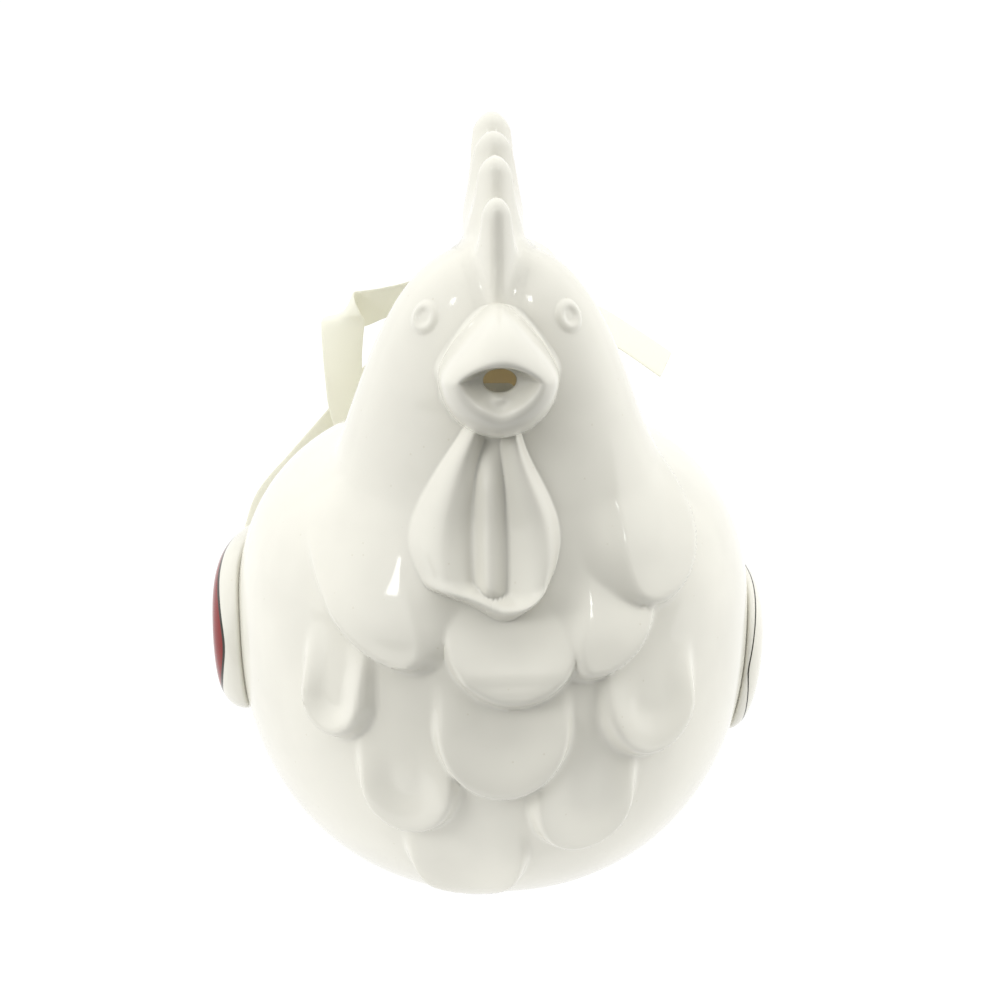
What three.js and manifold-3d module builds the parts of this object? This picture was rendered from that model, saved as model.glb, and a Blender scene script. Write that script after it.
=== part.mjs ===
// Rooster creamer: a white glazed earthenware jug in the form of a rooster. Cream is poured in through the
// collared mouth behind the neck and out through the beak, and the arched tail is the handle.
// The pot is one hollow casting. Comb, beak, wattles, eyes, wings and handle are stuck on with slip before firing,
// and a satin ribbon is tied round the handle in a bow.
// Millimetres, +Z up, the beak points to -Y, and the origin is the centre of the foot.
import * as THREE from "three";
import { mergeVertices } from "three/addons/utils/BufferGeometryUtils.js";
import Module from "manifold-3d";

const wasm = await Module();
wasm.setup();

// Joints and walls
const wall = 4;
const slipSeam = 0.3;
const tieClearance = 0.3;

// Egg-shaped pot
const footRadius = 24;
const potHalfWidth = 53;
const breastReach = 53;
const rumpReach = 65;
const waistHeight = 53;
const potHeight = 97.5;
const bellyFullness = 2.24;
const shoulderFullness = 2.46;

// Neck and head, one bell that leans forward over the breast
const crownHeight = 134;
const crownHalfWidth = 23.4;
const napeHeight = 103.7;
const napeHalfWidth = 24.8;
const bellHeight = 55;
const bellHalfWidth = 44.5;
const bellDepthShare = 0.9;
const hackleSpread = 0.13;
const neckLean = 0.3;
const neckSetForward = 8.4;
const hackleHem = 9;
const shoulderFillet = 9;

// Filling mouth with its collar
const mouthHalfWidth = 18;
const mouthHalfDepth = 13.5;
const mouthSetBack = 23.5;
const mouthTilt = THREE.MathUtils.degToRad(10);
const collarThickness = 3.6;
const collarHeight = 5;

// Beak, hung below the crown, and its pouring bore
const beakDrop = 22;
const beakHalfWidth = 11.4;
const beakHalfHeight = 12.4;
const beakLength = 19;
const boreHalfWidth = 3.4;
const boreHalfHeight = 2.75;

// Comb
const combThickness = 11.6;
const combCrestThickness = 7.6;
const combFrontThickness = 9.4;
const combRounding = 2.8;
const combRise = 23;
const combFrontSet = 15;
const combBackSet = 26;
const combNotch = 5;

// Wattles and the throat between them
const wattleLength = 32;
const wattleHalfWidth = 6.4;
const wattleThickness = 5.8;
const wattleDrift = -3;
const throatHalfWidth = 1.8;

// Eyes
const eyeRadius = 2.7;
const eyeRise = 9;
const eyeTurn = THREE.MathUtils.degToRad(43);

// Plumage in low relief and the wings
const plumeLift = 2;
const featherSize = 22;
const wingLiftLeft = 5.4;
const wingLiftRight = 3.6;
const wingHalfHeight = 16.5;
const wingFrontTurn = THREE.MathUtils.degToRad(83);
const wingTipTurn = THREE.MathUtils.degToRad(142);
const wingHeightLeft = 48;
const wingHeightRight = 42;
const wingTipRise = 15;

// Handle: a true arc at the top, then a sweep down to the rump
const archRadius = 22;
const archSetBack = 7;
const archHeight = 86;
const archStart = THREE.MathUtils.degToRad(150);
const handleHalfWidth = 6;
const handleHalfThickness = 4.5;
const handleRootFlare = 0.4;
const handleRootHeight = 32;

// Ribbon and its bow
const ribbonWidth = 10;
const ribbonThickness = 0.6;
const tieTurn = THREE.MathUtils.degToRad(110);
const knotHalfWidth = 5;
const knotHalfDepth = 5;
const knotHalfHeight = 3.4;

// One closed, outward-facing geometry from shared corner points
function closedGeometry(points, triangles) {
  const corners = new Float32Array(points.length * 3);
  points.forEach((p, i) => p.toArray(corners, i * 3));
  let volume = 0;
  for (let i = 0; i < triangles.length; i += 3) {
    const [a, b, c] = [points[triangles[i]], points[triangles[i + 1]], points[triangles[i + 2]]];
    volume += a.dot(new THREE.Vector3().crossVectors(b, c));
  }
  if (volume < 0) triangles.reverse();
  const geometry = new THREE.BufferGeometry();
  geometry.setAttribute("position", new THREE.BufferAttribute(corners, 3));
  geometry.setIndex(triangles);
  return geometry;
}

// Rings of equal point count joined into a skin. The ends are capped, or joined to each other when looped.
function loft(rings, looped = false) {
  const count = rings[0].length;
  const points = rings.flat();
  const triangles = [];
  const last = looped ? rings.length : rings.length - 1;
  for (let r = 0; r < last; r++) {
    const here = r * count;
    const next = ((r + 1) % rings.length) * count;
    for (let i = 0; i < count; i++) {
      const j = (i + 1) % count;
      triangles.push(here + i, next + i, next + j, here + i, next + j, here + j);
    }
  }
  if (!looped) {
    const middle = (ring) => ring.reduce((sum, p) => sum.add(p), new THREE.Vector3()).divideScalar(count);
    const first = points.push(middle(rings[0])) - 1;
    const end = points.push(middle(rings[rings.length - 1])) - 1;
    const tail = (rings.length - 1) * count;
    for (let i = 0; i < count; i++) {
      const j = (i + 1) % count;
      triangles.push(first, i, j);
      triangles.push(end, tail + j, tail + i);
    }
  }
  return closedGeometry(points, triangles);
}

// A pad with an outer and an inner skin over the same grid
function pad(columns, rows, outer, inner) {
  const ring = (row) => {
    const over = [];
    const under = [];
    for (let c = 0; c <= columns; c++) {
      over.push(outer((2 * c) / columns - 1, row / rows));
      under.unshift(inner((2 * c) / columns - 1, row / rows));
    }
    return over.concat(under);
  };
  return loft(Array.from({ length: rows + 1 }, (_, row) => ring(row)));
}

function solid(geometry) {
  const bare = geometry.clone();
  bare.deleteAttribute("normal");
  bare.deleteAttribute("uv");
  const merged = mergeVertices(bare, 1e-4);
  const triangles = [];
  const index = merged.index.array;
  for (let i = 0; i < index.length; i += 3) {
    const [a, b, c] = [index[i], index[i + 1], index[i + 2]];
    if (a !== b && b !== c && c !== a) triangles.push(a, b, c);
  }
  const mesh = new wasm.Mesh({
    numProp: 3,
    vertProperties: new Float32Array(merged.attributes.position.array),
    triVerts: new Uint32Array(triangles),
  });
  return new wasm.Manifold(mesh);
}

function geometryOf(manifold) {
  const mesh = manifold.getMesh();
  const geometry = new THREE.BufferGeometry();
  geometry.setAttribute("position", new THREE.BufferAttribute(new Float32Array(mesh.vertProperties), 3));
  geometry.setIndex(new THREE.BufferAttribute(new Uint32Array(mesh.triVerts), 1));
  return geometry;
}

// A geometry with its whole skin moved outwards, or inwards for a hollow
function grown(geometry, by) {
  const bare = geometry.clone();
  bare.deleteAttribute("normal");
  bare.deleteAttribute("uv");
  const merged = mergeVertices(bare, 1e-4);
  merged.computeVertexNormals();
  const { position, normal } = merged.attributes;
  for (let i = 0; i < position.count; i++) {
    const p = new THREE.Vector3().fromBufferAttribute(position, i);
    p.addScaledVector(new THREE.Vector3().fromBufferAttribute(normal, i), by);
    position.setXYZ(i, p.x, p.y, p.z);
  }
  return merged;
}

// Levels that hang from the crown
const beakHeight = crownHeight - beakDrop;
const eyeHeight = beakHeight + eyeRise;

// Share of the widest section that the pot has at a height
function potShare(height) {
  const footShare = footRadius / potHalfWidth;
  const below = waistHeight / Math.pow(1 - Math.pow(footShare, bellyFullness), 1 / bellyFullness);
  const full = height < waistHeight ? bellyFullness : shoulderFullness;
  const reach = height < waistHeight ? below : potHeight - waistHeight;
  const off = Math.min(1, Math.abs(height - waistHeight) / reach);
  return Math.pow(1 - Math.pow(off, full), 1 / full);
}

const bellProfile = new THREE.CubicBezierCurve(
  new THREE.Vector2(0, crownHeight),
  new THREE.Vector2(crownHalfWidth, crownHeight),
  new THREE.Vector2(napeHalfWidth, napeHeight),
  new THREE.Vector2(bellHalfWidth, bellHeight),
);

function bellRadius(height) {
  let low = 0;
  let high = 1;
  for (let i = 0; i < 40; i++) {
    const mid = (low + high) / 2;
    if (bellProfile.getPoint(mid).y > height) low = mid;
    else high = mid;
  }
  return bellProfile.getPoint(low).x;
}

const bellAxis = (height) => -neckSetForward - neckLean * (height - bellHeight);

// The bell deepens towards its foot, so that the hackle runs into the breast
function bellDepth(height) {
  const down = Math.max(0, (napeHeight - height) / (napeHeight - bellHeight));
  return bellDepthShare + hackleSpread * down;
}

// Half width of the neck, with the hem of the hackle rounded under
function bellHalf(height) {
  if (height >= bellHeight) return bellRadius(height);
  return bellHalfWidth * Math.sqrt(Math.max(0, 1 - Math.pow((bellHeight - height) / hackleHem, 2)));
}

// The pot's and neck's common skin, met from an axis that is upright in the pot and leans forward into the head
const plumeAxis = -5;

function skinAxis(height) {
  const lean = THREE.MathUtils.smoothstep(height, waistHeight, crownHeight);
  return THREE.MathUtils.lerp(plumeAxis, bellAxis(crownHeight), lean);
}

function ovalReach(turn, halfWidth, halfDepth, offset) {
  const [x, y] = [Math.sin(turn) / halfWidth, -Math.cos(turn) / halfDepth];
  const start = offset / halfDepth;
  const [a, b, c] = [x * x + y * y, y * start, start * start - 1];
  const room = b * b - a * c;
  return room > 0 ? Math.max(0, (Math.sqrt(room) - b) / a) : 0;
}

function softMax(a, b) {
  const near = Math.max(0, shoulderFillet - Math.abs(a - b));
  return Math.max(a, b) + (near * near) / (4 * shoulderFillet);
}

function skinPoint(turn, height) {
  const axis = skinAxis(height);
  const share = potShare(height);
  let reach = 0;
  if (share > 0) {
    reach = ovalReach(turn, potHalfWidth * share, breastReach * share, axis);
    if (axis - reach * Math.cos(turn) > 0) reach = ovalReach(turn, potHalfWidth * share, rumpReach * share, axis);
  }
  const half = bellHalf(height);
  if (half > 0) reach = softMax(reach, ovalReach(turn, half, half * bellDepth(height), axis - bellAxis(height)));
  return new THREE.Vector3(reach * Math.sin(turn), axis - reach * Math.cos(turn), height);
}

function skinNormal(turn, height) {
  const step = 0.02;
  const across = skinPoint(turn + step, height).sub(skinPoint(turn - step, height));
  const up = skinPoint(turn, height + 0.5).sub(skinPoint(turn, height - 0.5));
  return across.cross(up).normalize();
}

function offSkin(turn, height, lift) {
  return skinPoint(turn, height).addScaledVector(skinNormal(turn, height), lift);
}

// The turn at which the front of the skin is a given way aside
function turnAside(aside, height) {
  let turn = 0;
  for (let i = 0; i < 5; i++) {
    const reach = skinPoint(turn, height).setY(skinPoint(turn, height).y - skinAxis(height)).setZ(0).length();
    turn = Math.asin(THREE.MathUtils.clamp(aside / reach, -0.9, 0.9));
  }
  return turn;
}

// Pot, neck and head as one closed skin of level rings, close together where the shoulder and the crown lie flat
function skinForm(around, rings) {
  const heights = [];
  for (let i = 0; i < rings; i++) heights.push((waistHeight * i * (rings + i)) / (2 * rings * rings));
  const flatten = (i) => Math.sin((Math.PI * i) / (2 * rings));
  for (let i = 0; i < rings; i++) heights.push(THREE.MathUtils.lerp(waistHeight, potHeight, flatten(i)));
  for (let i = 0; i < rings; i++) heights.push(THREE.MathUtils.lerp(potHeight, crownHeight, flatten(i)));
  const ring = (height) => Array.from({ length: around }, (_, i) => skinPoint((2 * Math.PI * i) / around, height));
  return loft(heights.map(ring));
}

// Plumage: hackle tips round the hem of the neck, then breast feathers that lap like tiles. Each is placed by its
// turn from the front and by its tip as a share of the hem's height, and sized by shares of a full feather.
const hackle = [
  { turn: -24, tip: 1, width: 0.98, length: 1.2 },
  { turn: 20, tip: 0.976, width: 0.98, length: 1.2 },
  { turn: 42, tip: 1.19, width: 0.7, length: 0.85 },
  { turn: -45, tip: 1.2, width: 0.7, length: 0.85 },
];
const breast = [
  { turn: -4, tip: 0.1, width: 1, length: 0.8 },
  { turn: -22, tip: 0.39, width: 0.88, length: 0.95 },
  { turn: 20, tip: 0.33, width: 1, length: 1 },
  { turn: -40, tip: 0.727, width: 0.75, length: 1 },
  { turn: 31, tip: 0.66, width: 0.8, length: 0.92 },
  { turn: 0, tip: 0.545, width: 1.2, length: 1.1 },
  { turn: 2, tip: 0.9, width: 1, length: 0.9 },
];

// A feather lies under the skin at its quill and stands proud along its rounded tip
function feather({ turn, tip, width, length }, grow) {
  const centre = THREE.MathUtils.degToRad(turn);
  const [low, long, half] = [tip * bellHeight, length * featherSize, (width * featherSize) / 2];
  const place = (u, v) => {
    const round = Math.sqrt(1 - Math.pow(Math.max(0, v - 0.4) / 0.605, 2.2));
    const height = low - grow + (long + grow) * (1 - v);
    const reach = skinPoint(centre, height).setZ(0).length();
    return [centre + ((u * (half + grow)) / reach) * (0.75 + 0.25 * Math.sin(Math.PI * Math.min(v, 0.5))) * round, height];
  };
  const lift = (u, v) => plumeLift * (1.4 * Math.pow(v, 0.9) - 0.4) * (1 - 0.3 * u * u) + grow;
  return pad(6, 8, (u, v) => offSkin(...place(u, v), lift(u, v)), (u, v) => offSkin(...place(u, v), -wall * 0.65));
}

// The fleshy keel down the throat that parts the wattles
const throatTop = beakHeight - beakHalfHeight * 0.84;

function throatKeel(grow) {
  const place = (u, v) => {
    const height = throatTop - v * wattleLength * 0.9;
    return [turnAside(wattleDrift * v * 0.8 + u * (throatHalfWidth + grow), height), height];
  };
  const lift = (u, v) => throatHalfWidth * (1.35 - u * u) * (1 - 0.5 * v) + grow;
  return pad(4, 6, (u, v) => offSkin(...place(u, v), lift(u, v)), (u, v) => offSkin(...place(u, v), -wall / 3));
}

// Everything of the casting that a stuck-on part meets, as a whole body without its hollow
function castingBody(grow) {
  let body = solid(grown(skinForm(56, 10), grow));
  for (const plume of [...breast, ...hackle]) body = body.add(solid(feather(plume, grow)));
  return body.add(solid(throatKeel(grow)));
}

// The collar stands on the pot's back and leans with it
const mouthPlace = new THREE.Matrix4()
  .makeTranslation(0, mouthSetBack, potHeight - wall / 4)
  .multiply(new THREE.Matrix4().makeRotationX(-mouthTilt));

function mouthOval(geometry) {
  geometry.rotateX(Math.PI / 2);
  geometry.scale(1, mouthHalfDepth / mouthHalfWidth, 1);
  return geometry.applyMatrix4(mouthPlace);
}

function collar(grow) {
  const inside = mouthHalfWidth - 1;
  const outside = mouthHalfWidth + collarThickness + grow;
  const rollRadius = collarThickness / 2 + grow / 2;
  const profile = [new THREE.Vector2(inside, -wall), new THREE.Vector2(outside, -wall)];
  for (let i = 0; i <= 6; i++) {
    const angle = (Math.PI * i) / 12;
    const across = outside - rollRadius + rollRadius * Math.cos(angle);
    profile.push(new THREE.Vector2(across, collarHeight - rollRadius + grow + rollRadius * Math.sin(angle)));
  }
  profile.push(new THREE.Vector2(inside, collarHeight + grow), new THREE.Vector2(inside, -wall));
  return mouthOval(new THREE.LatheGeometry(profile, 40));
}

const mouthCut = mouthOval(new THREE.CylinderGeometry(mouthHalfWidth, mouthHalfWidth, 6 * collarHeight, 40));

function boreCut() {
  const cut = new THREE.CylinderGeometry(1, 1, beakLength * 3, 24);
  cut.scale(boreHalfWidth, 1, boreHalfHeight);
  return cut.translate(0, bellAxis(beakHeight) - bellRadius(beakHeight), beakHeight);
}

// Pot, neck and head: one hollow casting with the filling mouth, the spout hole and the plumage
const hollow = solid(grown(skinForm(36, 8), -wall));
const casting = castingBody(0)
  .add(solid(collar(0)))
  .subtract(hollow)
  .subtract(solid(mouthCut))
  .subtract(solid(boreCut()));

// What the stuck-on parts are cut back by, so that each sits in its slip seam
const seat = castingBody(slipSeam).add(solid(collar(slipSeam)));

// Comb: an upright wedge over the crown and down the forehead to the beak, narrow in front, with four rounded points
// that rise towards the back and a notch behind each of the first three
const crownAxis = bellAxis(crownHeight);
const combFoot = beakHeight + beakHalfHeight / 2;
const combFront = crownAxis - combFrontSet;
const combSpan = combFrontSet + combBackSet;

function combOutline() {
  const points = [
    { along: 0.09, rise: 0.4, radius: 0.14 },
    { along: 0.31, rise: 0.7, radius: 0.145 },
    { along: 0.53, rise: 0.87, radius: 0.15 },
    { along: 0.8, rise: 1, radius: 0.17 },
  ];
  const outline = new THREE.Path();
  outline.moveTo(combFront + combSpan * 0.84, combFoot);
  outline.lineTo(combFront, combFoot);
  points.forEach(({ along, rise, radius }, i) => {
    const [middle, top, round] = [combFront + combSpan * along, crownHeight + combRise * rise, radius * combRise];
    outline.absarc(middle, top - round, round, Math.PI * 0.95, Math.PI * 0.1, true);
    if (i < 3) outline.lineTo(middle + combSpan * (points[i + 1].along - along) * 0.5, top - combNotch);
  });
  outline.lineTo(combFront + combSpan * 0.92, crownHeight);
  return outline.getPoints(5);
}

// The outline drawn in by a distance along the bisector of each corner
function drawnIn(outline, by) {
  return outline.map((p, i) => {
    const before = p.clone().sub(outline[(i + outline.length - 1) % outline.length]).normalize();
    const after = outline[(i + 1) % outline.length].clone().sub(p).normalize();
    const inward = new THREE.Vector2(before.y + after.y, -before.x - after.x).normalize();
    return p.clone().addScaledVector(inward, by / Math.max(0.5, inward.dot(new THREE.Vector2(after.y, -after.x))));
  });
}

function combForm() {
  const outline = combOutline();
  const count = outline.length;
  const points = [];
  const triangles = [];
  for (let layer = 0; layer <= 8; layer++) {
    const angle = (Math.PI * layer) / 8;
    for (const { x: y, y: z } of drawnIn(outline, combRounding * (1 - Math.sin(angle)))) {
      const up = THREE.MathUtils.clamp((z - crownHeight) / combRise, 0, 1);
      const back = THREE.MathUtils.clamp((y - combFront) / (combSpan * 0.5), 0, 1);
      const thick = THREE.MathUtils.lerp(combFrontThickness, combThickness, back);
      const taper = THREE.MathUtils.lerp(1, combCrestThickness / combThickness, up);
      points.push(new THREE.Vector3((-Math.cos(angle) * thick * taper) / 2, y, z));
    }
  }
  for (let layer = 0; layer < 8; layer++) {
    for (let i = 0; i < count; i++) {
      const [here, next] = [layer * count + i, layer * count + ((i + 1) % count)];
      triangles.push(here, next, next + count, here, next + count, here + count);
    }
  }
  for (const [a, b, c] of THREE.ShapeUtils.triangulateShape(drawnIn(outline, combRounding), [])) {
    triangles.push(a, b, c, 8 * count + c, 8 * count + b, 8 * count + a);
  }
  return closedGeometry(points, triangles);
}

// Beak: a bulb with a keeled upper bill that overhangs, an almond mouth and a notched lower lip. The bore runs
// through it into the neck.
const beakRoot = bellAxis(beakHeight) - bellRadius(beakHeight) * bellDepth(beakHeight);

function beakRing({ out, wide, up, down, overhang = 0, notch = 0, peak = 0, corner = 0 }) {
  const ring = [];
  for (let i = 0; i < 28; i++) {
    const angle = (2 * Math.PI * i) / 28;
    const [c, s] = [Math.cos(angle), Math.sin(angle)];
    const tall = (s > 0 ? up : down) * s * Math.pow(Math.abs(s), corner);
    const narrow = 1 - peak * Math.max(0, s);
    const reach = out + overhang * Math.max(0, s) * s - notch * Math.max(0, -s) * Math.exp(-12 * c * c);
    ring.push(new THREE.Vector3(wide * c * narrow, beakRoot - reach, beakHeight + tall));
  }
  return ring;
}

function beakForm() {
  const [w, h, l] = [beakHalfWidth, beakHalfHeight, beakLength];
  const bore = { wide: boreHalfWidth, up: boreHalfHeight, down: boreHalfHeight };
  return loft(
    [
      { out: -0.7 * l, wide: w * 0.9, up: h * 0.9, down: h * 0.9, peak: 0.3 },
      { out: -0.1 * l, wide: w * 1.03, up: h, down: h, peak: 0.45 },
      { out: 0.18 * l, wide: w * 1.04, up: h * 0.99, down: h * 0.98, peak: 0.48 },
      { out: 0.34 * l, wide: w * 1.02, up: h * 0.96, down: h * 0.94, overhang: 0.02 * l, peak: 0.47 },
      { out: 0.52 * l, wide: w * 0.97, up: h * 0.88, down: h * 0.86, overhang: 0.06 * l, peak: 0.43 },
      { out: 0.68 * l, wide: w * 0.88, up: h * 0.73, down: h * 0.74, overhang: 0.12 * l, peak: 0.36, corner: 0.06 },
      { out: 0.78 * l, wide: w * 0.77, up: h * 0.52, down: h * 0.6, overhang: 0.18 * l, peak: 0.2, corner: 0.18 },
      { out: 0.8 * l, wide: w * 0.69, up: h * 0.34, down: h * 0.5, overhang: 0.2 * l, notch: 0.05 * l, corner: 0.34 },
      { out: 0.77 * l, wide: w * 0.58, up: h * 0.25, down: h * 0.4, overhang: 0.14 * l, notch: 0.06 * l, corner: 0.45 },
      { out: 0.72 * l, wide: bore.wide * 1.1, up: bore.up, down: bore.down * 1.1 },
      { out: 0.6 * l, ...bore },
      { out: -0.7 * l, ...bore },
    ].map(beakRing),
    true,
  );
}

const beak = solid(beakForm()).subtract(seat);
const beakClear = solid(grown(beakForm(), slipSeam));
const comb = solid(combForm()).subtract(seat).subtract(beakClear);

// Wattles: two teardrops that hang from the beak's root down the throat, drifting to one side
function wattleForm(side) {
  const top = beakHeight - beakHalfHeight * 0.72;
  const long = wattleLength * (side > 0 ? 1.05 : 1);
  const half = wattleHalfWidth * (side > 0 ? 0.9 : 1);
  const place = (u, v) => {
    const height = top - v * long;
    const round = Math.sqrt(1 - Math.pow(Math.max(0, v - 0.7) / 0.305, 2));
    const swell = half * (0.5 + 0.5 * Math.sin((Math.PI / 2) * Math.min(1, v / 0.75))) * round;
    const middle = side * (throatHalfWidth + half * (0.34 + 0.78 * v)) + wattleDrift * v;
    return [turnAside(middle + u * swell, height), height];
  };
  const lift = (u, v) => {
    const dome = Math.pow(Math.max(0, 1 - u * u), 0.6);
    const dish = 0.15 * Math.exp(-Math.pow((u + side * 0.15) / 0.45, 2)) * Math.sin(Math.PI * v);
    const end = Math.sqrt(1 - Math.pow(Math.max(0, v - 0.75) / 0.26, 2));
    return wattleThickness * (0.07 + (0.55 + 0.45 * v) * dome * (1 - dish) * end);
  };
  return pad(10, 14, (u, v) => offSkin(...place(u, v), lift(u, v)), (u, v) => offSkin(...place(u, v), -wall / 3));
}

const wattleLeft = solid(wattleForm(-1)).subtract(seat).subtract(beakClear);
const wattleRight = solid(wattleForm(1)).subtract(seat).subtract(beakClear);

// Eyes: small raised rings with a dimple
function eyeForm(side) {
  const profile = [
    new THREE.Vector2(0, -wall / 2),
    new THREE.Vector2(eyeRadius, -wall / 2),
    new THREE.Vector2(eyeRadius, 0.5),
    new THREE.Vector2(eyeRadius * 0.86, 1.1),
    new THREE.Vector2(eyeRadius * 0.62, 1.2),
    new THREE.Vector2(eyeRadius * 0.4, 0.8),
    new THREE.Vector2(0, 0.6),
  ];
  const radius = bellRadius(eyeHeight);
  const spot = new THREE.Vector3(
    side * radius * Math.sin(eyeTurn),
    bellAxis(eyeHeight) - radius * bellDepth(eyeHeight) * Math.cos(eyeTurn),
    eyeHeight,
  );
  const slope = (bellRadius(eyeHeight - 1) - bellRadius(eyeHeight + 1)) / 2;
  const facing = new THREE.Vector3(side * Math.sin(eyeTurn), -Math.cos(eyeTurn), slope - neckLean * Math.cos(eyeTurn));
  const turn = new THREE.Quaternion().setFromUnitVectors(new THREE.Vector3(0, 1, 0), facing.normalize());
  return new THREE.LatheGeometry(profile, 20).applyQuaternion(turn).translate(spot.x, spot.y, spot.z);
}

const eyeLeft = solid(eyeForm(-1)).subtract(seat);
const eyeRight = solid(eyeForm(1)).subtract(seat);

// Wings: leaf-shaped pads on the flanks, blunt in front and rising to a point behind
function wingForm(side, wingHeight, wingLift) {
  const place = (u, v) => {
    const along = v * v * (3 - 2 * v);
    const turn = THREE.MathUtils.lerp(wingFrontTurn, wingTipTurn, along);
    const swell = wingHalfHeight * Math.pow(Math.sin(Math.PI * (0.004 + 0.99 * Math.pow(along, 0.62))), 0.6);
    return [side * turn, wingHeight + wingTipRise * along * along + u * swell];
  };
  const lift = (u, v) => wingLift * (0.15 + 0.85 * Math.pow(Math.max(0, 1 - u * u), 0.4) * (1 - 0.5 * v * v));
  return pad(10, 14, (u, v) => offSkin(...place(u, v), lift(u, v)), (u, v) => offSkin(...place(u, v), -wall / 3));
}

const wingLeft = solid(wingForm(-1, wingHeightLeft, wingLiftLeft)).subtract(seat);
const wingRight = solid(wingForm(1, wingHeightRight, wingLiftRight)).subtract(seat);

// Handle: a strap of oval section that leaves the back behind the mouth, arches over and sweeps down to the rump
const archCentre = new THREE.Vector3(0, rumpReach + archSetBack, archHeight);

function archPoint(angle, out, aside) {
  const [y, z] = [Math.cos(angle), Math.sin(angle)];
  return new THREE.Vector3(aside, archCentre.y + out * y, archCentre.z + out * z);
}

function strapRing(centre, outward, halfWidth, halfThickness) {
  const ring = [];
  for (let i = 0; i < 16; i++) {
    const angle = (2 * Math.PI * i) / 16;
    const p = centre.clone().addScaledVector(outward, halfThickness * Math.sin(angle));
    ring.push(p.setX(halfWidth * Math.cos(angle)));
  }
  return ring;
}

function archRing(angle, grow) {
  const outward = new THREE.Vector3(0, Math.cos(angle), Math.sin(angle));
  return strapRing(archPoint(angle, archRadius, 0), outward, handleHalfWidth + grow, handleHalfThickness + grow);
}

function handleForm() {
  const rings = [];
  const stem = new THREE.Vector3(0, Math.sin(archStart), -Math.cos(archStart));
  const stemOut = new THREE.Vector3(0, Math.cos(archStart), Math.sin(archStart));
  for (let i = 0; i < 5; i++) {
    const back = archRadius * 0.7 * (1 - i / 5);
    const flare = 1 + handleRootFlare * Math.pow(1 - i / 5, 2);
    const centre = archPoint(archStart, archRadius, 0).addScaledVector(stem, -back);
    rings.push(strapRing(centre, stemOut, handleHalfWidth * flare, handleHalfThickness * flare));
  }
  for (let i = 0; i <= 22; i++) rings.push(archRing(archStart * (1 - i / 22), 0));
  const end = archPoint(0, archRadius, 0);
  const root = new THREE.Vector3(0, rumpReach * potShare(handleRootHeight) - 2 * wall, handleRootHeight);
  const sweep = new THREE.CubicBezierCurve3(
    end,
    end.clone().add(new THREE.Vector3(0, 0, (root.z - end.z) * 0.45)),
    root.clone().add(new THREE.Vector3(0, (end.y - root.y) * 0.72, (end.z - root.z) * 0.14)),
    root,
  );
  for (let i = 1; i <= 14; i++) {
    const t = i / 14;
    const along = sweep.getTangent(t);
    const outward = new THREE.Vector3(0, -along.z, along.y);
    const flare = 1 + handleRootFlare * Math.pow(t, 4);
    rings.push(strapRing(sweep.getPoint(t), outward, handleHalfWidth * flare, handleHalfThickness * flare));
  }
  return loft(rings);
}

const handle = solid(handleForm()).subtract(seat);

// Ribbon: a turn round the arch, a knot on top of it, two loops and two tails
const bandHalfTurn = ribbonWidth / 2 / archRadius;

function bandForm() {
  const angles = Array.from({ length: 7 }, (_, i) => tieTurn - bandHalfTurn + (bandHalfTurn * i) / 3);
  const outer = angles.map((angle) => archRing(angle, tieClearance + ribbonThickness));
  const inner = angles.map((angle) => archRing(angle, tieClearance)).reverse();
  return loft(outer.concat(inner), true);
}

const knotLevel = archRadius + handleHalfThickness + 2 * tieClearance + ribbonThickness + knotHalfHeight;
const knotCentre = archPoint(tieTurn, knotLevel, 0);

function knotForm(grow) {
  const form = new THREE.SphereGeometry(1, 20, 14);
  const { position } = form.attributes;
  const square = (value) => Math.sign(value) * Math.pow(Math.abs(value), 0.75);
  for (let i = 0; i < position.count; i++) {
    position.setXYZ(
      i,
      square(position.getX(i)) * (knotHalfWidth + grow),
      square(position.getY(i)) * (knotHalfHeight + grow),
      square(position.getZ(i)) * (knotHalfDepth + grow),
    );
  }
  form.rotateX(tieTurn);
  return form.translate(knotCentre.x, knotCentre.y, knotCentre.z);
}

// A length of ribbon through stations: where its middle runs from the knot's centre in tenths of the ribbon's width,
// which way its width lies, and the share of its width that isn't gathered.
function ribbonForm(stations, steps) {
  const tenth = ribbonWidth / 10;
  const run = stations.map(({ at }) => new THREE.Vector3(...at).multiplyScalar(tenth).add(knotCentre));
  const middle = new THREE.CatmullRomCurve3(run);
  const lay = new THREE.CatmullRomCurve3(stations.map(({ across }) => new THREE.Vector3(...across).normalize()));
  const open = new THREE.CatmullRomCurve3(stations.map(({ spread }) => new THREE.Vector3(spread, 0, 0)));
  const rings = [];
  for (let i = 0; i <= steps; i++) {
    const t = i / steps;
    const along = middle.getTangent(t);
    const across = lay.getPoint(t);
    across.addScaledVector(along, -across.dot(along)).normalize();
    const face = new THREE.Vector3().crossVectors(along, across).multiplyScalar(ribbonThickness / 2);
    across.multiplyScalar((ribbonWidth / 2) * open.getPoint(t).x);
    const centre = middle.getPoint(t);
    rings.push([
      centre.clone().add(across).add(face),
      centre.clone().sub(across).add(face),
      centre.clone().sub(across).sub(face),
      centre.clone().add(across).sub(face),
    ]);
  }
  return loft(rings);
}

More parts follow.
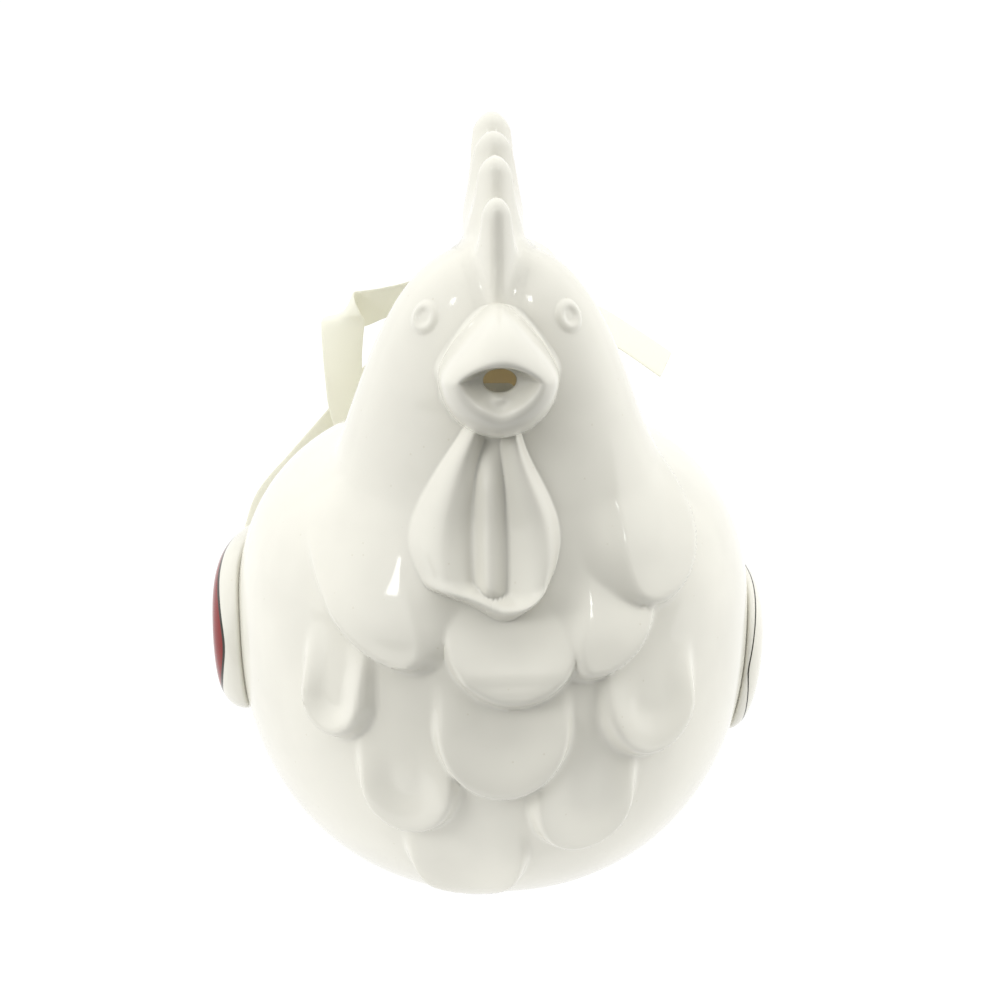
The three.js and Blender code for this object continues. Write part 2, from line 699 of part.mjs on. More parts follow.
const loopLeftRun = [
  { at: [-1, 1.4, 0.6], across: [0, 0.5, 0.86], spread: 0.3 },
  { at: [-7, 2.2, -0.2], across: [0, 0.35, 0.93], spread: 0.6 },
  { at: [-15, 2.6, -2.6], across: [0, 0.15, 1], spread: 0.95 },
  { at: [-23, 2.4, -4.8], across: [0, 0, 1], spread: 1 },
  { at: [-29.5, 1.6, -7], across: [0, 0, 1], spread: 1 },
  { at: [-30.8, 1.2, -7], across: [0.15, -0.5, 0.85], spread: 1 },
  { at: [-31.8, 0.2, -7.5], across: [0.5, -0.7, 0.5], spread: 1 },
  { at: [-32.3, -0.7, -8.5], across: [0.85, -0.5, 0.15], spread: 1 },
  { at: [-32.4, -1.2, -9.8], across: [1, 0, 0], spread: 1 },
  { at: [-32.6, -1.8, -15], across: [0.92, 0.38, 0], spread: 1 },
  { at: [-32.4, -2.2, -22], across: [0.85, 0.52, 0], spread: 1 },
  { at: [-31.4, -1.6, -30], across: [0.85, 0.5, 0.08], spread: 1 },
  { at: [-28, 0, -37], across: [0.85, 0.45, 0.24], spread: 1 },
  { at: [-21.5, 1.8, -40.5], across: [0.5, 0.8, 0.3], spread: 1 },
  { at: [-15.5, 1, -34.5], across: [0.05, 0.96, 0.2], spread: 1 },
  { at: [-12.5, -1.6, -24], across: [0.1, 0.95, -0.2], spread: 0.95 },
  { at: [-11, -3.8, -12], across: [0.15, 0.95, -0.2], spread: 0.8 },
  { at: [-7.2, -2.6, -3], across: [0.1, 0.95, -0.2], spread: 0.45 },
  { at: [-1, -1.4, -0.9], across: [0, 0.97, -0.2], spread: 0.3 },
];
const loopRightRun = [
  { at: [1, 1, 1.2], across: [0, 0.9, 0.4], spread: 0.3 },
  { at: [4.4, 1, 4.6], across: [0, 0.93, 0.36], spread: 0.55 },
  { at: [9, 0.6, 6.9], across: [0, 0.95, 0.3], spread: 0.9 },
  { at: [14, 0, 5.2], across: [0, 0.97, 0.24], spread: 1 },
  { at: [17.4, -0.6, 1.6], across: [0, 0.98, 0.2], spread: 1 },
  { at: [16, -1.2, -1.6], across: [0, 0.98, 0.2], spread: 0.95 },
  { at: [11.5, -1.6, -1.4], across: [0, 0.98, 0.2], spread: 0.8 },
  { at: [6.4, -1.6, -0.2], across: [0, 0.98, 0.2], spread: 0.5 },
  { at: [1, -1.4, 0.2], across: [0, 0.98, 0.2], spread: 0.3 },
];
const tailLeftRun = [
  { at: [-1, 2.6, -1], across: [0, 0.95, 0.3], spread: 0.3 },
  { at: [-7.4, 5, -5], across: [0.3, 0.8, 0.1], spread: 0.5 },
  { at: [-16.5, 6.4, -14], across: [0.5, 0.6, -0.4], spread: 0.95 },
  { at: [-25, 5.6, -24], across: [0.6, 0.5, -0.6], spread: 1 },
  { at: [-33.5, 3.6, -34], across: [0.66, 0.44, -0.6], spread: 1 },
  { at: [-42, 1.4, -43.5], across: [0.74, 0.4, -0.5], spread: 1 },
  { at: [-49.3, -0.8, -52], across: [0.84, 0.36, -0.3], spread: 1 },
  { at: [-52, -2, -60], across: [0.92, 0.3, -0.2], spread: 1 },
];
const tailRightRun = [
  { at: [1, -0.2, -1.4], across: [0, 0.98, 0.2], spread: 0.3 },
  { at: [7, -0.4, -3], across: [0.1, 0.95, 0.25], spread: 0.5 },
  { at: [15, -0.6, -6], across: [0.2, 0.9, 0.34], spread: 0.9 },
  { at: [24, -0.6, -9], across: [0.28, 0.86, 0.42], spread: 1 },
  { at: [33, -1, -14.4], across: [0.3, 0.85, 0.44], spread: 1 },
  { at: [42, -1.4, -20.6], across: [0.32, 0.84, 0.46], spread: 1 },
];

const knotClear = solid(knotForm(tieClearance));
const lay = (run, steps) => solid(ribbonForm(run, steps)).subtract(knotClear);

const glaze = () => new THREE.MeshStandardMaterial({ color: 0xefeee8, roughness: 0.12, metalness: 0 });
const satin = () => new THREE.MeshStandardMaterial({ color: 0xeae7d6, roughness: 0.45, metalness: 0 });

function piece(name, body, material) {
  const flat = geometryOf(body).toNonIndexed();
  flat.computeVertexNormals();
  const mesh = new THREE.Mesh(flat, material);
  mesh.name = name;
  return mesh;
}

const creamer = new THREE.Group();
creamer.name = "rooster_creamer";
creamer.add(
  piece("body_shell", casting, glaze()),
  piece("beak_spout", beak, glaze()),
  piece("comb", comb, glaze()),
  piece("wattle_left", wattleLeft, glaze()),
  piece("wattle_right", wattleRight, glaze()),
  piece("eye_left", eyeLeft, glaze()),
  piece("eye_right", eyeRight, glaze()),
  piece("wing_left", wingLeft, glaze()),
  piece("wing_right", wingRight, glaze()),
  piece("tail_handle", handle, glaze()),
  piece("ribbon_band", solid(bandForm()), satin()),
  piece("ribbon_knot", solid(knotForm(0)), satin()),
  piece("ribbon_loop_left", lay(loopLeftRun, 54), satin()),
  piece("ribbon_loop_right", lay(loopRightRun, 28), satin()),
  piece("ribbon_tail_left", lay(tailLeftRun, 21), satin()),
  piece("ribbon_tail_right", lay(tailRightRun, 14), satin()),
);

export default creamer;
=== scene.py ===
import math

import bmesh
import bpy
import numpy as np
from mathutils import Matrix, Vector
from mathutils.bvhtree import BVHTree


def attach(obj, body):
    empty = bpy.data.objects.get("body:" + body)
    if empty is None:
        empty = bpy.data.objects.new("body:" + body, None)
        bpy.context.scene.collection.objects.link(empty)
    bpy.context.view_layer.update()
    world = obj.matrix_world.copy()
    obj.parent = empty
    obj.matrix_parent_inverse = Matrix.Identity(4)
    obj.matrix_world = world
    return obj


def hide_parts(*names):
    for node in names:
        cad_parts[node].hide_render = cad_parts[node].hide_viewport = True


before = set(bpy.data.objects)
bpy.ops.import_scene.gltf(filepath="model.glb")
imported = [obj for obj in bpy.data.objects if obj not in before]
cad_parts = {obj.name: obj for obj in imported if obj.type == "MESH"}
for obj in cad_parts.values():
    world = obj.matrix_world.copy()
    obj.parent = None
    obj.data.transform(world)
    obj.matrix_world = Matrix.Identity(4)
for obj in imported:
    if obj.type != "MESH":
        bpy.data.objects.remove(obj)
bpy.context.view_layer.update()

# Body: pot, neck and head are one hollow slip casting of white earthenware with a clear warm glaze. The plumage and
# the keel between the wattles are cast in low relief, and the flat foot is wiped bare of glaze before firing.
MM = 0.001
WALL = 4.0
FOOT_RADIUS = 24.0
POT_HALF_WIDTH = 53.0
BREAST_REACH = 53.0
RUMP_REACH = 65.0
WAIST_HEIGHT = 53.0
POT_HEIGHT = 97.5
BELLY_FULLNESS = 2.24
SHOULDER_FULLNESS = 2.46
CROWN_HEIGHT = 134.0
NAPE_HEIGHT = 103.7
BELL_HEIGHT = 55.0
BELL_HALF_WIDTH = 44.5
BELL_FORWARD = 8.4
BELL_LEAN = 0.3
BELL_DEPTH = 0.9
CROWN_FULLNESS = 23.4
NAPE_FULLNESS = 24.8
HACKLE_HEM = 9.0
HACKLE_SPREAD = 0.105
POT_FORWARD = 5.0
SHOULDER_FILLET = 7.0
HEM_FILLET = 0.6
FOOT_EDGE = 1.2
FEATHER_RELIEF = 3.7
KEEL_TOP = 109.5
KEEL_LENGTH = 44.0
KEEL_RELIEF = 2.2
KEEL_HALF_WIDTH = 2.1
THROAT_DRIFT = 1.7


def ease(low, high, value):
    t = np.clip((value - low) / (high - low), 0, 1)
    return t * t * (3 - 2 * t)


def pot_share(height):
    foot_share = FOOT_RADIUS / POT_HALF_WIDTH
    below = WAIST_HEIGHT / (1 - foot_share**BELLY_FULLNESS) ** (1 / BELLY_FULLNESS)
    low = height < WAIST_HEIGHT
    full = np.where(low, BELLY_FULLNESS, SHOULDER_FULLNESS)
    reach = np.where(low, below, POT_HEIGHT - WAIST_HEIGHT)
    off = np.minimum(1, np.abs(height - WAIST_HEIGHT) / reach)
    return (1 - off**full) ** (1 / full)


step = np.linspace(0, 1, 1500)
bell_radii = (
    3 * (1 - step) ** 2 * step * CROWN_FULLNESS
    + 3 * (1 - step) * step**2 * NAPE_FULLNESS
    + step**3 * BELL_HALF_WIDTH
)
bell_levels = (
    (1 - step) ** 3 * CROWN_HEIGHT
    + 3 * (1 - step) ** 2 * step * CROWN_HEIGHT
    + 3 * (1 - step) * step**2 * NAPE_HEIGHT
    + step**3 * BELL_HEIGHT
)


def bell_half(height):
    hem = BELL_HALF_WIDTH * np.sqrt(np.maximum(0, 1 - ((BELL_HEIGHT - height) / HACKLE_HEM) ** 2))
    return np.where(height < BELL_HEIGHT, hem, np.interp(height, bell_levels[::-1], bell_radii[::-1]))


def bell_axis(height):
    return -BELL_FORWARD - BELL_LEAN * (height - BELL_HEIGHT)


def bell_depth(height):
    return BELL_DEPTH + HACKLE_SPREAD * np.maximum(0, (NAPE_HEIGHT - height) / (NAPE_HEIGHT - BELL_HEIGHT))


def skin_axis(height):
    t = np.clip((height - WAIST_HEIGHT) / (CROWN_HEIGHT - WAIST_HEIGHT), 0, 1)
    return -POT_FORWARD + (bell_axis(CROWN_HEIGHT) + POT_FORWARD) * t * t * (3 - 2 * t)


def oval_reach(turn, half_width, half_depth, offset):
    half_width = np.maximum(half_width, 1e-6)
    half_depth = np.maximum(half_depth, 1e-6)
    x, y, start = np.sin(turn) / half_width, -np.cos(turn) / half_depth, offset / half_depth
    a, b, c = x * x + y * y, y * start, start * start - 1
    room = b * b - a * c
    return np.where(room > 0, np.maximum(0, (np.sqrt(np.maximum(room, 0)) - b) / a), 0)


def skin_reach(turn, height):
    axis = skin_axis(height)
    share = pot_share(height)
    pot = oval_reach(turn, POT_HALF_WIDTH * share, BREAST_REACH * share, axis)
    behind = axis - pot * np.cos(turn) > 0
    rump = oval_reach(turn, POT_HALF_WIDTH * share, RUMP_REACH * share, axis)
    pot = np.where(height < POT_HEIGHT, np.where(behind, rump, pot), 0)
    half = bell_half(height)
    bell = oval_reach(turn, half, half * bell_depth(height), axis - bell_axis(height))
    fillet = HEM_FILLET + (SHOULDER_FILLET - HEM_FILLET) * ease(BELL_HEIGHT, NAPE_HEIGHT - 18, height)
    near = np.maximum(0, fillet - np.abs(pot - bell)) * (half > 0)
    return np.maximum(pot, bell) + near * near / (4 * fillet)


def on_skin(turn, height):
    reach = skin_reach(turn, height)
    return np.stack([reach * np.sin(turn), skin_axis(height) - reach * np.cos(turn), height + 0 * turn], -1)


def off_skin(turn, height, lift):
    across = on_skin(turn + 0.01, height) - on_skin(turn - 0.01, height)
    up = on_skin(turn, height + 0.3) - on_skin(turn, height - 0.3)
    normal = np.cross(across, up)
    normal /= np.linalg.norm(normal, axis=-1, keepdims=True)
    return on_skin(turn, height) + normal * lift[..., None]


def turn_aside(aside, height):
    turn = 0 * aside
    for _ in range(6):
        turn = np.arcsin(np.clip(aside / np.maximum(skin_reach(turn, height), 1), -0.95, 0.95))
    return turn


def points_of(mesh):
    co = np.empty(len(mesh.vertices) * 3)
    mesh.vertices.foreach_get("co", co)
    return co.reshape(-1, 3)


def normals_of(mesh):
    normal = np.empty(len(mesh.vertices) * 3)
    mesh.vertex_normals.foreach_get("vector", normal)
    return normal.reshape(-1, 3)


def move_points(mesh, points):
    mesh.vertices.foreach_set("co", np.ascontiguousarray(points, dtype=np.float64).ravel())
    mesh.update()


def clay(name, bm):
    mesh = bpy.data.meshes.new(name)
    bm.to_mesh(mesh)
    bm.free()
    piece = bpy.data.objects.new(name, mesh)
    bpy.context.scene.collection.objects.link(piece)
    return piece


def ball(name, around, rows):
    bm = bmesh.new()
    bmesh.ops.create_uvsphere(bm, u_segments=around, v_segments=rows, radius=1)
    return clay(name, bm)


def finished(piece):
    seen = piece.evaluated_get(bpy.context.evaluated_depsgraph_get())
    mesh = bpy.data.meshes.new_from_object(seen)
    piece.modifiers.clear()
    piece.data = mesh
    return piece


def cut(piece, tool, operation="DIFFERENCE"):
    knife = piece.modifiers.new("cut", "BOOLEAN")
    knife.operation = operation
    knife.solver = "MANIFOLD"
    knife.object = tool


def smooth(piece, angle=50):
    piece.data.shade_smooth()
    piece.data.set_sharp_from_angle(angle=math.radians(angle))


# Tip turn and height, half width, length, lean and spread of each feather, the hackle first
feathers = [
    (-20, 55.2, 8.5, 24, -0.5, 0.5),
    (20, 53.2, 9.0, 20, 0.35, 0.2),
    (37, 65.0, 12.0, 34, 0.35, 0.2),
    (3, 48.5, 14.0, 19, 0, 0),
    (0.5, 29.9, 13.3, 24, 0, 0),
    (36, 36.0, 11.5, 22, 0, 0),
    (-39, 40, 8.2, 22, 0, 0),
    (-22.5, 21.8, 10.5, 21, 0, 0),
    (21, 17.2, 11.0, 22, 0, 0),
    (-10, 3.8, 12.5, 18, 0, 0),
]


def plumage(turn, height):
    relief = 0 * turn
    for tip_turn, tip, half, length, lean, spread in feathers:
        rise = height - tip
        up = np.clip(rise, 0, length)
        aside = (turn - math.radians(tip_turn)) * np.maximum(skin_reach(turn, height), 20) - lean * up
        round_tip = np.minimum(0, rise - half * 1.15) / 1.15
        inside = half + spread * up - np.hypot(aside, round_tip)
        fade = 1 - ease(length * 0.25, length * 1.05, rise)
        dish = 1 - (0.1 if lean else 0.6) * ease(1.8, half * 0.8, inside)
        soft = 2.0 + (1.8 + 0.6 * up) * ease(0, half * 0.8, -aside * np.sign(lean))
        relief = np.maximum(relief, FEATHER_RELIEF * ease(-0.6, soft, inside) * fade * dish)
    return relief * (0.3 + 0.7 * ease(0, 12, height))


def throat(turn, height):
    down = np.clip((KEEL_TOP - height) / KEEL_LENGTH, 0, 1)
    aside = (turn - turn_aside(-THROAT_DRIFT * ease(0, 0.4, down), height)) * skin_reach(turn, height)
    front = np.cos(turn) > 0
    keel = front * KEEL_RELIEF * np.exp(-((aside / KEEL_HALF_WIDTH) ** 2))
    return keel * ease(0.25, 0.45, down) * (1 - ease(0.86, 0.96, down))


def cast_skin(name, around, rows, offset, relief):
    """A ball whose rows run over the head, the shoulder, the belly and the foot, drawn onto the skin."""
    piece = ball(name, around, rows)
    mesh = piece.data
    unit = points_of(mesh)
    row = np.arccos(np.clip(unit[:, 2], -1, 1)) / math.pi
    theta = np.arctan2(unit[:, 0], -unit[:, 1])
    turn = theta - 0.45 * np.sin(theta)
    crown = 1 - np.cos(math.pi / 2 * np.minimum(row / 0.3, 1))
    head = CROWN_HEIGHT - (CROWN_HEIGHT - POT_HEIGHT) * crown
    shoulder = POT_HEIGHT - 6.5 * np.clip((row - 0.3) / 0.12, 0, 1) ** 2
    lower = np.interp(row, [0.42, 0.62, 0.94], [POT_HEIGHT - 6.5, WAIST_HEIGHT, 0])
    height = np.where(row < 0.3, head, np.where(row < 0.42, shoulder, lower))
    base = on_skin(turn, height)
    curl = FOOT_EDGE * (1 - np.sqrt(1 - np.clip(1 - height / FOOT_EDGE, 0, 1) ** 2))
    share = np.clip((1 - row) / 0.06, 0, 1)
    centre = np.stack([0 * height, skin_axis(height), height], -1)
    reach = np.maximum(np.linalg.norm(base - centre, axis=1, keepdims=True), 1e-6)
    base = centre + (base - centre) * (1 - curl[:, None] / np.maximum(reach, 5)) * share[:, None]
    move_points(mesh, base)
    lift = np.full(len(base), offset)
    if relief:
        lift += (plumage(turn, height) + throat(turn, height)) * (row < 0.935) * (row > 0.02)
    move_points(mesh, base + normals_of(mesh) * lift[:, None])
    return piece


MOUTH_HALF_WIDTH = 18.0
MOUTH_HALF_DEPTH = 13.5
MOUTH_SET_BACK = 23.5
MOUTH_TILT = math.radians(-10)
COLLAR_THICKNESS = 3.6
COLLAR_HEIGHT = 5.0
COLLAR_ROLL = 1.8
COLLAR_SKIRT = 9.0
mouth_place = Matrix.Translation((0, MOUTH_SET_BACK, POT_HEIGHT - WALL / 4)) @ Matrix.Rotation(MOUTH_TILT, 4, "X")
mouth_place = mouth_place @ Matrix.Diagonal((1, MOUTH_HALF_DEPTH / MOUTH_HALF_WIDTH, 1, 1))

body = cast_skin("rooster_body", 288, 250, 0.0, True)
skin_bm = bmesh.new()
skin_bm.from_mesh(body.data)
skin_tree = BVHTree.FromBMesh(skin_bm)
skin_bm.free()
hollow = cast_skin("hollow", 120, 110, -WALL, False)
bedding = cast_skin("bedding", 120, 110, -1.6, False)

bm = bmesh.new()
mouth_radius = MOUTH_HALF_WIDTH + COLLAR_THICKNESS / 4
bmesh.ops.create_cone(
    bm, cap_ends=True, segments=72, radius1=mouth_radius, radius2=mouth_radius, depth=36, matrix=mouth_place
)
mouth_tool = clay("mouth_tool", bm)
BEAK_HEIGHT = 112.0
SPOUT_HALF_WIDTH = 6.8
SPOUT_HALF_HEIGHT = 7.2
SPOUT_DROP = 0.8
bm = bmesh.new()
spout_place = Matrix.Translation((0, -48, BEAK_HEIGHT - SPOUT_DROP))
spout_place = spout_place @ Matrix.Diagonal((SPOUT_HALF_WIDTH, 1, SPOUT_HALF_HEIGHT, 1))
spout_place = spout_place @ Matrix.Rotation(math.pi / 2, 4, "X")
bmesh.ops.create_cone(bm, cap_ends=True, segments=48, radius1=1, radius2=1, depth=30, matrix=spout_place)
bore_tool = clay("bore_tool", bm)

# the collar's rolled lip, turned round the mouth
bm = bmesh.new()
lip = bmesh.ops.create_circle(bm, segments=28, radius=1)["verts"]
for v in lip:
    along, up = v.co.x, v.co.y
    level = COLLAR_HEIGHT - COLLAR_ROLL + (COLLAR_ROLL if up > 0 else COLLAR_SKIRT) * up
    v.co = (MOUTH_HALF_WIDTH + COLLAR_THICKNESS / 2 * (1 + along), 0, level)
profile = bm.edges[:] + bm.verts[:]
bmesh.ops.spin(bm, geom=profile, cent=(0, 0, 0), axis=(0, 0, 1), angle=2 * math.pi, steps=96, use_merge=True)
bmesh.ops.remove_doubles(bm, verts=bm.verts[:], dist=0.001)
bmesh.ops.transform(bm, matrix=mouth_place, verts=bm.verts[:])
bmesh.ops.recalc_face_normals(bm, faces=bm.faces[:])
collar = clay("collar", bm)


def flow_onto_skin(piece, radius, tree=skin_tree):
    """Draws the glaze out into a hollow fillet where a stuck-on part meets the body."""
    points, normals = points_of(piece.data), normals_of(piece.data)
    moved = points.copy()
    for i, p in enumerate(points):
        spot, facing, _, _ = tree.find_nearest(Vector(p))
        gap = max(0.0, (Vector(p) - spot).dot(facing))
        if gap < radius:
            side = Vector(normals[i])
            side -= facing * max(0.0, side.dot(facing))
            moved[i] += np.array(side) * radius * (1 - gap / radius) ** 3
    move_points(piece.data, moved)


flow_onto_skin(collar, 2.2)
for tool in (hollow, mouth_tool, bore_tool):
    cut(body, tool)
cut(body, collar, "UNION")
finished(body)
for tool in (hollow, mouth_tool, bore_tool, collar):
    bpy.data.objects.remove(tool)


def nodes_of(name):
    material = bpy.data.materials.new(name)
    material.use_nodes = True
    tree = material.node_tree
    return material, tree, tree.nodes["Principled BSDF"]


def glaze(name, clear=(0.80, 0.785, 0.705), pooled=(0.60, 0.56, 0.44), shine=(0.05, 0.11)):
    """Clear glaze over white clay: faint pooling, a little ripple and the odd pinhole."""
    material, tree, shader = nodes_of(name)
    add, link = tree.nodes.new, tree.links.new
    place = add("ShaderNodeTexCoord")
    cloud = add("ShaderNodeTexNoise")
    cloud.inputs["Scale"].default_value = 45
    cloud.inputs["Detail"].default_value = 3
    link(place.outputs["Object"], cloud.inputs["Vector"])
    tint = add("ShaderNodeValToRGB")
    tint.color_ramp.elements[0].position = 0.35
    tint.color_ramp.elements[0].color = tuple(0.94 * c for c in clear) + (1,)
    tint.color_ramp.elements[1].position = 0.65
    tint.color_ramp.elements[1].color = clear + (1,)
    link(cloud.outputs["Fac"], tint.inputs["Fac"])
    specks = add("ShaderNodeTexVoronoi")
    specks.inputs["Scale"].default_value = 260
    link(place.outputs["Object"], specks.inputs["Vector"])
    speck = add("ShaderNodeValToRGB")
    speck.color_ramp.elements[0].position = 0.03
    speck.color_ramp.elements[0].color = (0.35, 0.35, 0.35, 1)
    speck.color_ramp.elements[1].position = 0.07
    speck.color_ramp.elements[1].color = (0, 0, 0, 1)
    link(specks.outputs["Distance"], speck.inputs["Fac"])
    mix = add("ShaderNodeMix")
    mix.data_type = "RGBA"
    mix.inputs["B"].default_value = pooled + (1,)
    link(speck.outputs["Color"], mix.inputs["Factor"])
    link(tint.outputs["Color"], mix.inputs["A"])
    link(mix.outputs["Result"], shader.inputs["Base Color"])
    sheen = add("ShaderNodeMapRange")
    sheen.inputs["To Min"].default_value = shine[0]
    sheen.inputs["To Max"].default_value = shine[1]
    link(cloud.outputs["Fac"], sheen.inputs["Value"])
    link(sheen.outputs["Result"], shader.inputs["Roughness"])
    ripple = add("ShaderNodeTexNoise")
    ripple.inputs["Scale"].default_value = 130
    ripple.inputs["Detail"].default_value = 1
    link(place.outputs["Object"], ripple.inputs["Vector"])
    bump = add("ShaderNodeBump")
    bump.inputs["Strength"].default_value = 0.06
    bump.inputs["Distance"].default_value = 0.001
    link(ripple.outputs["Fac"], bump.inputs["Height"])
    link(bump.outputs["Normal"], shader.inputs["Normal"])
    shader.inputs["IOR"].default_value = 1.5
    return material


white_glaze = glaze("white_glaze")
# The inside of the jug is coloured tan-brown: painted shade for the dim, warm light in the hollow, seen through the
# spout hole.
inner_glaze_painted_shade = glaze("inner_glaze_painted_shade", clear=(0.62, 0.53, 0.33), pooled=(0.45, 0.36, 0.2))
bare_clay = glaze("bare_clay", clear=(0.74, 0.70, 0.61), pooled=(0.55, 0.47, 0.36), shine=(0.7, 0.85))


def to_metres(piece):
    move_points(piece.data, points_of(piece.data) * MM)


def melt(piece, reach):
    """Turns the shading of a stuck-on part into the body's where the glaze runs over the joint."""
    points, normals = points_of(piece.data), normals_of(piece.data)
    for i, p in enumerate(points):
        spot, facing, _, _ = skin_tree.find_nearest(Vector(p))
        own = float(ease(0, reach, (Vector(p) - spot).dot(facing)))
        normals[i] = (Vector(normals[i]) * own + facing * (1 - own)).normalized()
    piece.data.normals_split_custom_set_from_vertices(normals)


def fire(piece, slot, *nodes):
    to_metres(piece)
    piece.data.materials.clear()
    piece.data.materials.append(white_glaze)
    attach(piece, "creamer")
    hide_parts(*nodes)


# Faces deep inside the wall take the tan-brown inside colour, which is painted shade; the flat foot takes the bare
# clay.
coats = []
for face in body.data.polygons:
    spot, facing, _, _ = skin_tree.find_nearest(face.center)
    collar_rim = face.center.z > POT_HEIGHT - 6 and face.center.y > 0 and face.normal.z > -0.3
    deep = (face.center - spot).dot(facing) < -2.2 and not collar_rim
    coats.append(1 if deep else 2 if face.center.z < 0.5 else 0)
fire(body, "body_glaze", "body_shell")
body.data.materials.append(inner_glaze_painted_shade)
body.data.materials.append(bare_clay)
body.data.polygons.foreach_set("material_index", coats)
smooth(body, 55)

# Beak: a hollow-cast bulb stuck on over the spout hole. Its upper bill overhangs an almond mouth with a notched lower
# lip, and the pouring bore runs back through it.
BEAK_HALF_WIDTH = 11.4
BEAK_HALF_HEIGHT = 12.4
BEAK_LENGTH = 19.0
beak_root = float(bell_axis(BEAK_HEIGHT) - bell_half(np.array(BEAK_HEIGHT)) * bell_depth(BEAK_HEIGHT))
# out, wide, up, down, overhang, notch, peak, corner, in shares of the beak's length and half sizes
bill = [
    (-0.45, 0.9, 0.94, 0.94, 0, 0, 0.34, 0),
    (-0.1, 0.98, 1.0, 1.0, 0, 0, 0.45, 0),
    (0.04, 0.99, 1.0, 1.0, 0, 0, 0.47, 0),
    (0.18, 0.99, 0.99, 0.98, 0, 0, 0.48, 0),
    (0.34, 0.98, 0.96, 0.94, 0.02, 0, 0.47, 0),
    (0.52, 0.95, 0.88, 0.86, 0.06, 0, 0.43, 0.02),
    (0.68, 0.88, 0.73, 0.74, 0.12, 0, 0.36, 0.06),
    (0.78, 0.74, 0.5, 0.58, 0.18, 0.02, 0.2, 0.18),
    (0.81, 0.66, 0.34, 0.48, 0.22, 0.05, 0.1, 0.36),
    (0.79, 0.61, 0.26, 0.41, 0.18, 0.08, 0, 0.5),
    (0.71, 0.53, 0.23, 0.33, 0.08, 0.02, 0, 0.5),
    (0.655, 0.4, 0.2, 0.24, 0, -0.07, 0, 0.25),
    (0.635, 0.28, 0.175, 0.185, 0, 0, 0, 0),
    (0.6, 0.262, 0.168, 0.175, 0, 0, 0, 0),
    (0.53, 0.262, 0.168, 0.175, 0, 0, 0, 0),
    (0.4, 0.46, 0.38, 0.44, 0, 0, 0, 0),
    (0.0, 0.6, 0.5, 0.64, 0, 0, 0, 0),
    (-0.45, 0.6, 0.5, 0.66, 0, 0, 0, 0),
]
bm = bmesh.new()
rings = []
for out, wide, up, down, overhang, notch, peak, corner in bill:
    ring = bmesh.ops.create_circle(bm, segments=40, radius=1)["verts"]
    for v in ring:
        c, s = v.co.x, v.co.y
        tall = (up if s > 0 else down) * s * abs(s) ** corner * BEAK_HALF_HEIGHT
        ahead = out + overhang * max(0, s) * s - notch * max(0, -s) * math.exp(-12 * c * c)
        aside = wide * c * (1 - peak * max(0, s)) * BEAK_HALF_WIDTH
        v.co = (aside, beak_root - ahead * BEAK_LENGTH, BEAK_HEIGHT + tall)
    rings.append([e for e in bm.edges if e.verts[0] in ring and e.verts[1] in ring])
for first, second in zip(rings, rings[1:] + rings[:1]):
    bmesh.ops.bridge_loops(bm, edges=first + second)
bmesh.ops.recalc_face_normals(bm, faces=bm.faces[:])
beak = clay("beak", bm)
rounding = beak.modifiers.new("rounding", "SUBSURF")
rounding.levels = rounding.render_levels = 2
finished(beak)
flow_onto_skin(beak, 1.4)
cut(beak, bedding)
smooth(finished(beak))
melt(beak, 1.2)
fire(beak, "beak_glaze", "beak_spout")

# Comb: a solid wedge of clay stuck along the crown and down the forehead, narrow in front, with four rounded points
# that rise towards the back.
COMB_THICKNESS = 12.8
COMB_FRONT_THICKNESS = 9.4
COMB_ROUNDING = 18.0
COMB_RISE = 23.0
COMB_FRONT = float(bell_axis(CROWN_HEIGHT)) - 15
COMB_SPAN = 41.0
COMB_NOTCH = 5.0
COMB_GRAIN = 0.45
comb_foot = BEAK_HEIGHT + BEAK_HALF_HEIGHT / 2
outline = [(COMB_FRONT + COMB_SPAN * 0.84, comb_foot), (COMB_FRONT, comb_foot)]
# along, rise and rounding of each point, in shares of the span and the rise
teeth = [(0.09, 0.41, 0.14), (0.31, 0.71, 0.145), (0.53, 0.88, 0.15), (0.8, 1.01, 0.17)]
for k, (along, rise, radius) in enumerate(teeth):
    middle, top = COMB_FRONT + COMB_SPAN * along, CROWN_HEIGHT + COMB_RISE * rise
    radius *= COMB_RISE
    for angle in np.linspace(math.radians(171), math.radians(18), 13):
        outline.append((middle + radius * math.cos(angle), top - radius + radius * math.sin(angle)))
    if k < 3:
        outline.append((middle + COMB_SPAN * (teeth[k + 1][0] - along) / 2, top - COMB_NOTCH))
outline.append((COMB_FRONT + COMB_SPAN * 0.92, CROWN_HEIGHT))
bm = bmesh.new()
side = bm.faces.new([bm.verts.new((-COMB_THICKNESS / 2, y, z)) for y, z in outline])
grown = bmesh.ops.extrude_face_region(bm, geom=[side])["geom"]
far_side = [v for v in grown if isinstance(v, bmesh.types.BMVert)]
bmesh.ops.translate(bm, verts=far_side, vec=(COMB_THICKNESS, 0, 0))
bmesh.ops.recalc_face_normals(bm, faces=bm.faces[:])
comb = clay("comb_crest", bm)


def even_out(piece, size):
    even = piece.modifiers.new("even", "REMESH")
    even.mode = "VOXEL"
    even.voxel_size = size
    finished(piece)


